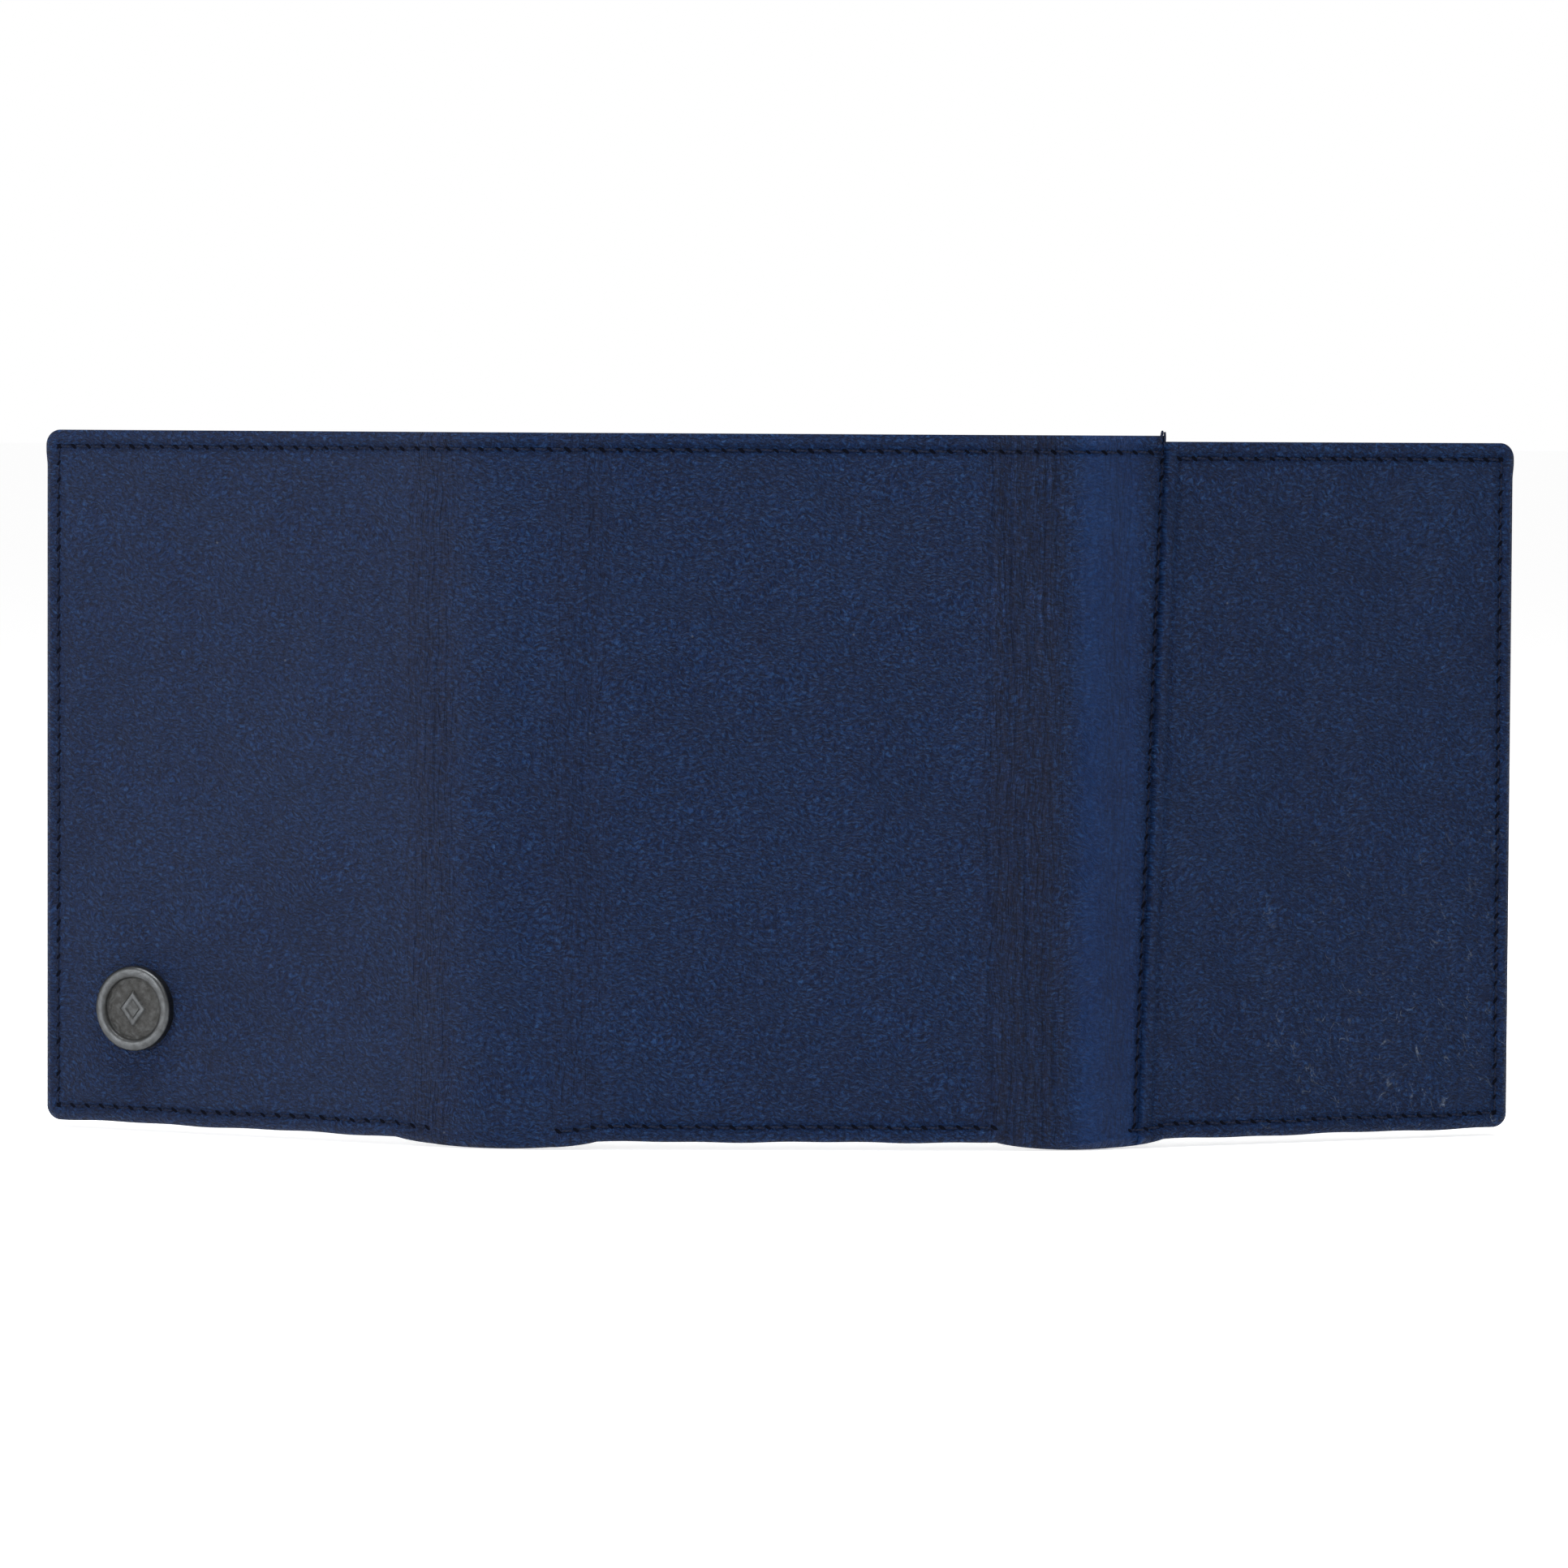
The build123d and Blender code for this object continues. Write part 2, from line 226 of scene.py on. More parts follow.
def make_creases(low, high, count, deepest):
    """Fine upright crease lines between two places: (place, width, depth, wander, phase)."""
    lines = []
    for number in range(count):
        where = low + (high - low) * (number + rng.uniform(0.15, 0.85)) / count
        width, depth = rng.uniform(0.20, 0.42) * mm, rng.uniform(0.35, 1.0) * deepest
        lines.append((where, width, depth, rng.uniform(0.2, 0.8) * mm, rng.uniform(0, cycle)))
    return lines


crease_zones = [
    (-panel_half - fold_gap - 3 * mm, -panel_half - fold_gap + 4 * mm, 6, 0.11 * mm),
    (-panel_half - 2 * mm, -panel_half + 7 * mm, 7, 0.08 * mm),
    (panel_half - 1.5 * mm, panel_half + 9.5 * mm, 14, 0.20 * mm),
    (panel_half + fold_gap - 4 * mm, panel_half + fold_gap + 0.5 * mm, 3, 0.07 * mm),
]
creases = [line for zone in crease_zones for line in make_creases(*zone)]


def smooth(t):
    """Smooth rise from 0 to 1."""
    t = np.clip(t, 0, 1)
    return t * t * (3 - 2 * t)


def in_gap(s, edge=1.6 * mm):
    """1 in the unsewn fold gaps, 0 in the sewn panels."""
    inside = np.abs(s) - panel_half
    return smooth(inside / edge) * smooth((fold_gap - inside) / edge)


def hem_low(s):
    """Height of the bottom edge: the sewn hem is drawn up, the unsewn one hangs lower and round."""
    uneven = 0.07 * mm * np.sin(s / (4.3 * mm)) + 0.05 * mm * np.sin(s / (1.9 * mm) + 1.0)
    centre, reach = np.where(s > 0, 0.68, 0.5) * fold_gap, np.where(s > 0, 0.66, 0.78) * fold_gap
    slack = np.maximum(0, 1 - ((np.abs(s) - panel_half - centre) / reach) ** 2)
    return 0.85 * mm + uneven * (1 - in_gap(s)) - 1.1 * mm * slack**0.8


def body_relief(s, z):
    """Depth change of the outer face away from seams: slow swells, fold humps and creases."""
    depth = np.zeros(np.broadcast(s, z).shape)
    for wide, tall, phase, shift in swells:
        wave = np.sin(s / (wide * mm) * cycle + phase) * np.sin(z / (tall * mm) * cycle + shift)
        depth = depth + 0.035 * mm * wave
    for where, width, deep, wander, phase in creases:
        bend = wander * np.sin(z / (31 * mm) + phase) + 0.25 * wander * np.sin(z / (9 * mm) + 2 * phase)
        strength = 0.6 + 0.4 * np.sin(z / (17 * mm) + 3 * phase)
        depth = depth + deep * strength * bell(s - where - bend, width)
    right_hump = bell(s - panel_half - 0.72 * fold_gap, 3.4 * mm) * (0.55 + 0.45 * smooth(1 - z / height))
    left_hump = bell(s + panel_half + 0.62 * fold_gap, 2.6 * mm)
    left_hollow = bell(s + panel_half + 0.28 * fold_gap, 3.2 * mm)
    return depth + mm * (0.12 * left_hollow - 0.38 * left_hump - 0.55 * right_hump)


def seam_relief(s, z, second):
    """The joining seam: the first piece dips to the needle line, the second starts as a raised edge."""
    off = s - seam_at(z)
    if second:
        turned = 0.62 * mm * (1 - smooth(off / (0.55 * mm)))
        ridge = 0.30 * mm * smooth(off / (0.4 * mm)) * (1 - smooth((off - 1.45 * mm) / (0.6 * mm)))
        return turned - ridge + 0.10 * mm * bell(off - 2.1 * mm, 0.35 * mm)
    return 0.42 * mm * bell(off, 0.85 * mm)


def sewn_relief(s, z):
    """All the needle lines of the outer face together."""
    return sum(row.dent(s, z) for row in outer_rows.values())


# %% [markdown]
# ## Making meshes from flat patterns
# Two makers cover every soft piece. A *leaf* is a cut piece with two faces and rounded edges, such as a
# pocket. A *shell* is the outer leather: its face rolls round the real edges and carries on as a flange on
# the inside. Both keep their flat coordinates as a UV map, so grain never stretches or slides when the
# wallet folds. The far sides and the flanges shift theirs, so they show another stretch of the grain.

# %% Mesh helpers
weld_gap = 0.004 * mm
back_shift, side_flange_shift, long_flange_shift = 0.31, 0.11, 0.23
rounding_steps = tuple(step * mm for step in (0.0, 0.04, 0.11, 0.22, 0.36, 0.54, 0.76, 1.0, 1.25, 1.5))


def rounding(q, reach):
    """1 at an edge, falling to 0 at the reach, along a quarter of an ellipse."""
    t = 1 - np.clip(q / reach, 0, 1)
    return 1 - np.sqrt(np.maximum(0, 1 - t * t))


def graded(low, high, step, fine_low=True, fine_high=True, extra=(), beside=()):
    """Grid lines from low to high: even inside, with extra lines next to rounded edges and beside sewing."""
    count = max(2, round((high - low) / step))
    fine = [*extra, high]
    if fine_low:
        fine += [low + r for r in (*rounding_steps, *beside)]
    if fine_high:
        fine += [high - r for r in (*rounding_steps, *beside)]
    fine = np.array(fine)
    even = [value for value in np.linspace(low, high, count + 1) if np.abs(fine - value).min() > 0.12 * mm]
    lines = np.unique(np.round(np.concatenate([fine, even]), 8))
    inner = lines[(lines > low + 0.02 * mm) & (lines < high - 0.02 * mm)]
    return np.concatenate([[low], inner, [high]])


def grid_quads(columns, rows, offset=0, flip=False):
    """Quads of a grid whose points run along z first."""
    i, j = np.meshgrid(np.arange(columns - 1), np.arange(rows - 1), indexing="ij")
    a = offset + (i * rows + j).ravel()
    quads = np.stack([a, a + rows, a + rows + 1, a + 1], 1)
    return quads[:, ::-1] if flip else quads


def ring_quads(tubes, rings, sides, flip=False):
    """Quads round tubes whose points run ring by ring."""
    n, i, j = np.meshgrid(np.arange(tubes), np.arange(rings - 1), np.arange(sides), indexing="ij")
    a, after = (n * rings + i) * sides, (j + 1) % sides
    quads = np.stack([a + j, a + after, a + sides + after, a + sides + j], -1).reshape(-1, 4)
    return quads[:, [0, 3, 2, 1]] if flip else quads


def make_mesh(name, points, faces, flat, material):
    """A smooth-shaded object from points, faces and their flat coordinates, with close points welded."""
    mesh = bpy.data.meshes.new(name)
    mesh.from_pydata(np.asarray(points).tolist(), [], [list(map(int, face)) for face in faces])
    layer = mesh.uv_layers.new(name="flat")
    loops = np.zeros(len(mesh.loops), np.int32)
    mesh.loops.foreach_get("vertex_index", loops)
    layer.data.foreach_set("uv", np.asarray(flat, np.float32)[loops].ravel())
    piece = bpy.data.objects.new(name, mesh)
    bpy.context.scene.collection.objects.link(piece)
    work = bmesh.new()
    work.from_mesh(mesh)
    bmesh.ops.remove_doubles(work, verts=work.verts, dist=weld_gap)
    bmesh.ops.dissolve_degenerate(work, edges=work.edges, dist=weld_gap)
    work.to_mesh(mesh)
    work.free()
    mesh.shade_smooth()
    mesh.materials.append(material)
    return piece


def leaf(name, s_lines, z_lines, near, thickness, material, free=(True,) * 4, hole=None, dents=None, sides=2):
    """A flat piece with two sides. near(s, z) is the depth of its outer side. free says which edges are real
    and rounded, in the order low s, high s, low z, high z; the others are cuts where a neighbour carries on.
    hole is (s0, s1, z0, z1) and stays open; dents(s, z) presses into the side that faces inward. With
    sides=1 only the side that faces inward is made, for a glued layer or a thin film."""
    s, z = np.meshgrid(s_lines, z_lines, indexing="ij")
    q = np.full(s.shape, 1.0)
    for on, distance in zip(free, (s - s_lines[0], s_lines[-1] - s, z - z_lines[0], z_lines[-1] - z)):
        if on:
            q = np.minimum(q, distance)
    keep = np.ones((len(s_lines) - 1) * (len(z_lines) - 1), bool)
    if hole:
        outside = np.maximum.reduce([hole[0] - s, s - hole[1], hole[2] - z, z - hole[3]])
        q = np.minimum(q, np.maximum(outside, 0))
        mid_s, mid_z = (s[:-1, :-1] + s[1:, 1:]) / 2, (z[:-1, :-1] + z[1:, 1:]) / 2
        inside = (mid_s > hole[0]) & (mid_s < hole[1]) & (mid_z > hole[2]) & (mid_z < hole[3])
        keep = ~inside.ravel()
    pinch = rounding(q, 0.55 * thickness) * thickness / 2
    pressed = dents(s, z) * smooth(q / (0.8 * mm)) if dents else 0
    front = place(s, near(s, z) + pinch, z).reshape(-1, 3)
    back = place(s, near(s, z) + thickness - pinch - pressed, z).reshape(-1, 3)
    flat = np.stack([s.ravel(), z.ravel()], 1)
    if sides == 1:
        return make_mesh(name, back, grid_quads(*s.shape, 0, True), flat, material)
    faces = np.concatenate([grid_quads(*s.shape)[keep], grid_quads(*s.shape, len(front), True)[keep]])
    points, flat = np.concatenate([front, back]), np.concatenate([flat, flat + back_shift])
    return make_mesh(name, points, faces, flat, material)


def rounded_corner(a, b, radius):
    """Moves points near a square corner onto a round one: a and b are the distances from its two edges."""
    near_edge, far_edge = np.minimum(a, b), np.maximum(a, b)
    inside = far_edge < radius
    arm = np.maximum(radius - near_edge, 1e-9)
    phi = np.pi / 4 * (radius - far_edge) / arm
    short = np.where(inside, radius - arm * np.cos(phi), near_edge)
    long = np.where(inside, radius - arm * np.sin(phi), far_edge)
    return np.where(a <= b, short, long), np.where(a <= b, long, short)


def fold_thickness(z, top, part=1.0):
    """Thickness of the turned edge: the outer wall alone at the top, every layer further down."""
    below = smooth((top - 3 * mm - z) / (2.5 * mm))
    return top_thickness + (side_thickness - top_thickness) * below * part


def settle_hem(s, z):
    """Height after the hem has found its own line near the bottom."""
    return z + hem_low(s) * np.clip(1 - z / (14 * mm), 0, 1)


flange_leather = 0.55 * mm
flange_steps = (1.8, 2.0, 2.2, 2.4, 2.6, 2.9, 3.4, 3.9, 4.25, 4.42, 4.5, 4.52)


def shell(name, s_low, s_high, top, relief, free=0, skew=lambda s, z: s, extra=()):
    """Outer leather from s_low to s_high, rolled over its real edges with a flange inside.
    free is -1 or 1 where the low or the high end is a real edge, and 0 where neighbours carry on."""
    beside = [stitch_inset + step * mm for step in (-0.7, -0.45, -0.22, 0, 0.22, 0.45, 0.7)]
    z_lines = graded(0, top, pitch / 5, beside=beside)
    for low, high, *_rest in crease_zones:
        dense = np.arange(low - 1 * mm, high + 1 * mm, 0.17 * mm)
        extra = [*extra, *dense[(dense > s_low) & (dense < s_high)]]
    s_lines = graded(s_low, s_high, pitch / 5, free < 0, free > 0, extra, beside)
    edge_s = s_low if free < 0 else s_high
    roll = 1.45 * mm

    def settle(s, z, depth):
        """Rounds the corner, lowers the hem and bends the leather into place."""
        a = np.abs(s - edge_s) if free else np.full(s.shape, 1.0)
        b = np.minimum(z, top - z)
        a, b = rounded_corner(a, b, corner)
        s = np.where(a < 0.5, edge_s - free * a, s) if free else s
        z = np.where(z < top / 2, b, top - b)
        s = skew(s, z)
        z = settle_hem(s, z)
        return place(s, depth, z), np.stack([s, z], -1)

    def edge_distance(s, z):
        q = np.minimum(z, top - z)
        return np.minimum(q, np.abs(s - edge_s)) if free else q

    s, z = np.meshgrid(s_lines, z_lines, indexing="ij")
    q = edge_distance(s, z)
    half = fold_thickness(z, top) / 2
    real_s = skew(s, z)
    shaped = (relief(real_s, z) + sewn_relief(real_s, z)) * smooth(q / (1.2 * mm))
    shaped = shaped - 0.16 * mm * bell(q - 1.3 * mm, 0.55 * mm)
    points, flat = settle(s, z, half * rounding(q, roll) + shaped)
    points, flat = [points.reshape(-1, 3)], [flat.reshape(-1, 2)]
    faces = [grid_quads(len(s_lines), len(z_lines))]
    steps = [*rounding_steps, *(step * mm for step in flange_steps)]
    for border in ("bottom", "top", "side"):
        if border == "side" and not free:
            continue
        line = z_lines if border == "side" else s_lines
        ring, along = np.meshgrid(steps, line, indexing="ij")
        if border == "side":
            bs = edge_s - free * ring
            bz = np.clip(along, ring, top - ring)
        else:
            bs = np.clip(along, s_low + ring * (free < 0), s_high - ring * (free > 0))
            bz = ring if border == "bottom" else top - ring
        near_side = 1 - smooth((np.abs(bs - edge_s) - ring) / (3 * mm)) if free else np.zeros(bs.shape)
        thick = fold_thickness(bz, top, near_side if border == "top" else 1.0)
        sewn = sewn_relief(skew(bs, bz), bz) * smooth(ring / (1.2 * mm))
        depth = thick - thick / 2 * rounding(ring, roll) - sewn
        depth[-2] -= 0.14 * mm
        depth[-1] = thick[-1] - flange_leather
        back, back_flat = settle(bs, bz, depth)
        count = sum(len(p) for p in points)
        points.append(back.reshape(-1, 3))
        shift = side_flange_shift if border == "side" else long_flange_shift
        flat.append(back_flat.reshape(-1, 2) + shift)
        turned_over = border == "top" or (border == "side" and free < 0)
        faces.append(grid_quads(len(steps), len(line), count, turned_over))
    return make_mesh(name, np.concatenate(points), np.concatenate(faces), np.concatenate(flat), outer_leather)


# %% [markdown]
# ## Shader maths in plain Python
# A node tree is easier to read as a formula. A small class wraps a socket, so that `1 - mask * 0.4` adds its
# Math nodes by itself. Colours go through Mix nodes, because a Math node would turn them grey.

# %% A small shader language
class Value:
    """A shader socket that can be used in Python sums."""

    def __init__(self, book, socket):
        self.book, self.socket = book, socket

    def _with(self, operation, other, swapped=False):
        pair = (other, self) if swapped else (self, other)
        return self.book.node("ShaderNodeMath", {"operation": operation}, {0: pair[0], 1: pair[1]})

    def __add__(self, other):
        return self._with("ADD", other)

    def __sub__(self, other):
        return self._with("SUBTRACT", other)

    def __rsub__(self, other):
        return self._with("SUBTRACT", other, True)

    def __mul__(self, other):
        return self._with("MULTIPLY", other)


class Book:
    """One material's node tree."""

    def __init__(self, name):
        self.material = bpy.data.materials.new(name)
        self.material.use_nodes = True
        self.nodes = self.material.node_tree.nodes
        self.links = self.material.node_tree.links
        self.shader = self.nodes["Principled BSDF"]

    def node(self, kind, settings=None, sockets=None, output=0):
        """Adds a node: its settings first, then the values or links of its sockets. Returns one output."""
        made = self.nodes.new(kind)
        for key, value in (settings or {}).items():
            setattr(made, key, value)
        for key, value in (sockets or {}).items():
            if isinstance(value, Value):
                self.links.new(value.socket, made.inputs[key])
            else:
                made.inputs[key].default_value = value
        return Value(self, made.outputs[output])

    def constant(self, **numbers):
        """Sets fixed numbers on the shader's own sockets: base_color becomes Base Color."""
        names = {socket.name.lower().replace(" ", "_"): socket for socket in self.shader.inputs}
        for key, value in numbers.items():
            names[key].default_value = value

    def feed(self, socket, value):
        self.links.new(value.socket, self.shader.inputs[socket])

    def stretch(self, vector, across=1.0, along=1.0, turn=0.0):
        """Coordinates scaled by two factors and turned by some degrees."""
        sockets = dict(Vector=vector, Rotation=(0.0, 0.0, math.radians(turn)), Scale=(across, along, 1.0))
        return self.node("ShaderNodeMapping", {"vector_type": "TEXTURE"}, sockets)

    def flat(self, across=1.0, along=1.0):
        """The flat pattern's coordinates; a factor above 1 makes every pattern on them that much longer."""
        return self.stretch(self.node("ShaderNodeUVMap", {"uv_map": "flat"}), across, along)

    def parts(self, vector):
        """The first two coordinates as numbers."""
        split = self.node("ShaderNodeSeparateXYZ", {}, {"Vector": vector})
        return split, Value(self, split.socket.node.outputs[1])

    def math(self, operation, value):
        """A Math node with one input, such as a sine."""
        return self.node("ShaderNodeMath", {"operation": operation}, {0: value})

    def drift(self, vector, pattern, reach):
        """Coordinates pushed along by a pattern, as far as reach."""
        sockets = {0: pattern, 1: reach, 2: vector}
        return self.node("ShaderNodeVectorMath", {"operation": "MULTIPLY_ADD"}, sockets)

    def noise(self, vector, scale, detail=2.0, roughness=0.5, distortion=0.0):
        sockets = dict(Vector=vector, Scale=scale, Detail=detail, Roughness=roughness, Distortion=distortion)
        return self.node("ShaderNodeTexNoise", {}, sockets)

    def cells(self, vector, scale, feature="DISTANCE_TO_EDGE"):
        return self.node("ShaderNodeTexVoronoi", {"feature": feature}, {"Vector": vector, "Scale": scale})

    def range(self, value, low, high, to_low=0.0, to_high=1.0):
        sockets = {"Value": value, "From Min": low, "From Max": high, "To Min": to_low, "To Max": to_high}
        return self.node("ShaderNodeMapRange", {"clamp": True}, sockets)

    def mix(self, factor, a, b):
        """Blends two colours, given as links or as three numbers."""
        a, b = (colour if isinstance(colour, Value) else (*colour, 1.0) for colour in (a, b))
        return self.node("ShaderNodeMix", {"data_type": "RGBA"}, {0: factor, 6: a, 7: b}, 2)

    def bump(self, relief, distance):
        sockets = dict(Strength=1.0, Distance=distance, Height=relief)
        self.feed("Normal", self.node("ShaderNodeBump", {}, sockets))


# %% [markdown]
# ## Leather
# Nappa leather is fine grained: soft pebbles about half a millimetre wide, a little longer than wide, with
# narrow valleys between them and scattered pores. The valleys are rougher and painted darker as painted
# shade, and the tops are glossier and painted lighter as a painted highlight; the fine creases of the folds
# get painted shade too, and the left panel a faint painted grey sheen. Slow clouds of colour keep a large
# panel from looking printed. The grain is flatter in a band of the right fold, where the bend pulls the
# leather taut.

# %% The leather material
def fold_zone(book, along):
    """1 near the folds' creased stretches and 0 on the flat panels, as shader maths."""
    total = 0.0
    for low, high, _count, deepest in crease_zones:
        rise = book.range(along, low - 2 * mm, low + 1.5 * mm)
        fall = book.range(along, high + 2 * mm, high - 1.5 * mm)
        total = rise * fall * min(1.0, deepest / (0.16 * mm)) + total
    return total


taut_band = ((41.5 * mm, 44.5 * mm), (54.5 * mm, 51.5 * mm))


# deep is the colour of the painted shade in the grain valleys and fold creases; the fourth colour is the
# painted highlight on the grain tops.
def leather(name, deep, plain, pale, painted_highlight_colour, grain, relief_height, gloss, worn):
    book = Book(name)
    surface = book.flat()
    along, up = book.parts(surface)
    drift = book.noise(surface, 60.0, 2.0)
    wave = book.noise(surface, 520.0, 2.0)
    moved = book.drift(surface, drift, (3.0 * mm, 6.0 * mm, 0.0))
    moved = book.drift(moved, wave, (0.3 * mm, 1.1 * mm, 0.0))
    slanted = book.stretch(moved, 1.9, 1.0, -14.0)
    pebble = book.range(book.cells(slanted, 1.0 / grain), 0.02, 0.34)
    small = book.range(book.cells(slanted, 2.1 / grain), 0.0, 0.30)
    strokes = book.noise(slanted, 1.35 / grain, 3.0, 0.62, 0.6)
    pores = 1 - book.range(book.cells(moved, 0.60 / grain, "F1"), 0.06, 0.20)
    speckle = book.noise(surface, 4600.0, 2.0)
    clouds = book.noise(surface, 34.0, 4.0, 0.6)
    patches = book.noise(surface, 240.0, 3.0)
    wrinkles = book.noise(book.stretch(moved, 1.0, 13.0), 1500.0, 3.0, 0.6, 0.3)
    folds = fold_zone(book, along)
    taut = book.range(along, *taut_band[0]) * book.range(along, *taut_band[1])
    ridge = book.range(strokes, 0.36, 0.66)
    grain_height = pebble * 0.38 + small * 0.14 + ridge * 0.50 + speckle * 0.14 - pores * 0.20
    creased = book.range(wrinkles, 0.38, 0.62) * folds * 1.7
    bump_height = grain_height * (1 - folds * 0.45 - taut * 0.6) + creased
    colour = book.mix(book.range(clouds + (patches - 0.5) * 0.7, 0.32, 0.72), plain, pale)
    # Painted shade: the grain valleys are painted darker with the deep colour; the same mask makes them
    # rougher.
    painted_valley_shade = ((1 - ridge) * 0.62 + (1 - pebble) * 0.34 + pores * 0.25) * (1 - taut * 0.3)
    colour = book.mix(book.range(painted_valley_shade, 0.12, 0.90, 0.0, 0.88), colour, deep)
    # Painted highlight: the tops of the grain ridges are painted lighter with the fourth colour.
    painted_highlight_mask = book.range(strokes + (speckle - 0.5) * 0.35, 0.52, 0.76) * (1 - taut * 0.6)
    colour = book.mix(painted_highlight_mask * 0.62, colour, painted_highlight_colour)
    # Painted shade: the fine creases in the folds are painted darker with the deep colour.
    colour = book.mix(book.range(wrinkles, 0.52, 0.38) * folds * folds * 0.40, colour, deep)
    colour = book.mix(folds * 0.032, colour, (0.120, 0.092, 0.068))
    rough = book.range(painted_valley_shade + (patches - 0.5) * 0.6, 0.0, 1.1, gloss, gloss + 0.26)
    if worn:
        # Painted sheen: a faint grey lightening of the left panel. The rest of this worn block is real corner
        # wear, scuffs and dust.
        painted_sheen_left = book.range(along, -36 * mm, -54 * mm) * book.range(clouds, 0.25, 0.60, 0.7, 1.0)
        colour = book.mix(painted_sheen_left * 0.046, colour, (0.100, 0.090, 0.088))
        corner_wear = book.range(along, 60 * mm, 85 * mm) * book.range(up, 60 * mm, 20 * mm)
        lived = corner_wear * book.range(patches, 0.38, 0.62)
        specks = 1 - book.range(book.cells(surface, 620.0, "F1"), 0.05, 0.13)
        scuffs = book.noise(book.stretch(moved, 2.4, 1.0, -58.0), 210.0, 2.0, 0.5, 1.4)
        hairs = 1 - book.range(book.math("ABSOLUTE", scuffs - 0.5), 0.0, 0.012)
        few = 1 - book.range(book.cells(surface, 125.0, "F1"), 0.012, 0.028)
        marks = (specks * 0.7 + hairs * book.range(wave, 0.46, 0.60)) * lived
        dust = marks * book.range(speckle, 0.30, 0.55) + few * 0.5
        colour = book.mix(book.range(dust, 0.0, 1.0, 0.0, 0.60), colour, (0.15, 0.18, 0.22))
    book.feed("Base Color", colour)
    book.feed("Roughness", rough)
    book.bump(bump_height, relief_height)
    book.constant(specular_ior_level=0.10)
    book.constant(sheen_weight=0.01, sheen_roughness=0.45, sheen_tint=(0.6, 0.68, 0.85, 1.0))
    return book.material


outer_leather = leather(
    "outer leather", deep=(0.0004, 0.0020, 0.010), plain=(0.0013, 0.0131, 0.060),
    pale=(0.0026, 0.0191, 0.077), painted_highlight_colour=(0.014, 0.049, 0.125),
    grain=0.50 * mm, relief_height=0.55 * mm, gloss=0.42, worn=True,
)
inner_leather = leather(
    "inner leather", deep=(0.0004, 0.0020, 0.009), plain=(0.0016, 0.0100, 0.044),
    pale=(0.0028, 0.0136, 0.053), painted_highlight_colour=(0.013, 0.032, 0.074),
    grain=0.42 * mm, relief_height=0.15 * mm, gloss=0.44, worn=False,
)

# %% [markdown]
# ## Where one mesh ends and the next begins
# A mesh blended between two bodies can follow the hinge they share, so the long outer leather is cut where
# nothing bends: in the middle of each fold and in the middle of the wallet. Each section lists the two bodies
# beside its crease, but no blend is made: the pieces keep their rest shape. Sizes of the bend zone are kept
# clear of the cuts.

# %% Sections between the cuts
bend_reach = 3.0 * mm
mid_left = -(left_fold["first"] + left_fold["spacing"] / 2)
mid_right = right_fold["first"] + right_fold["spacing"] / 2
left_outer_crease = -(left_fold["first"] + left_fold["spacing"])
right_outer_crease = right_fold["first"] + right_fold["spacing"]
sections = {
    "left": (left_end, mid_left, "left_spine", "left_panel", left_outer_crease, -1),
    "left_centre": (mid_left, 0.0, "centre_panel", "left_spine", -left_fold["first"], -1),
    "right_centre": (0.0, mid_right, "centre_panel", "right_spine", right_fold["first"], 1),
    "right": (mid_right, right_end, "right_spine", "right_panel", right_outer_crease, 1),
}


def join_sections(piece, section):
    """Works out the ends of the bend zone at its section's crease, which are not used, and bakes the piece's
    placement into its mesh; the piece is not bent.
    """
    _, _, body_a, body_b, crease, sign = sections[section]
    ends = [Vector(place(crease + sign * way * bend_reach, crease_depth, height / 2)) for way in (-1, 1)]
    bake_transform(piece)


# %% [markdown]
# ## The outer leather
# Two hides make the outside. The long one covers the left panel, the middle and the right fold and stops at
# the leaning seam; the short one is the right panel. The shell maker rolls them over the top, the bottom and
# the free sides, as a leather worker turns an edge over the lining and sews it down.

# %% Build the outer leather
def seam_skew(s, z):
    """Slides the band's free cut onto the leaning seam."""
    share = (s - mid_right) / (seam_foot - mid_right)
    return mid_right + share * (seam_at(z) - mid_right)


def joined_skew(s, z):
    """Slides the short hide's near edge onto the leaning seam."""
    share = (right_end - s) / (right_end - seam_foot)
    return right_end - share * (right_end - seam_at(z))


outer_pieces = {}
seam_steps = [step * mm for step in (0.12, 0.25, 0.38, 0.5, 0.65, 0.85, 1.1, 1.35, 1.6, 1.9, 2.1, 2.3)]
for section in ("left", "left_centre", "right_centre"):
    s_low, s_high = sections[section][:2]
    free = -1 if section == "left" else 0
    outer_pieces[section] = shell(f"outer_leather_{section}", s_low, s_high, height, body_relief, free)
outer_pieces["right"] = shell(
    "outer_leather_seam_band", mid_right, seam_foot, height,
    lambda s, z: body_relief(s, z) + seam_relief(s, z, False), skew=seam_skew,
    extra=[seam_foot - step for step in seam_steps],
)
for section, piece in outer_pieces.items():
    join_sections(piece, section)
outer_right = shell(
    "outer_leather_right", seam_foot, right_end, joined_height,
    lambda s, z: body_relief(s, z) + seam_relief(s, z, True), 1, skew=joined_skew,
    extra=[seam_foot + step for step in seam_steps],
)
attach(outer_right, "right_panel")
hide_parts("outer_skin_left", "turned_edges_left")
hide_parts("outer_fold_left", "turned_edges_fold_left")
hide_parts("outer_skin_centre", "turned_edges_centre")
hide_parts("outer_skin_seam_band", "outer_fold_right", "turned_edges_fold_right")
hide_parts("outer_skin_right", "turned_edges_right")
for piece in [*outer_pieces.values(), outer_right]:
    print(piece.name, len(piece.data.polygons), "faces")

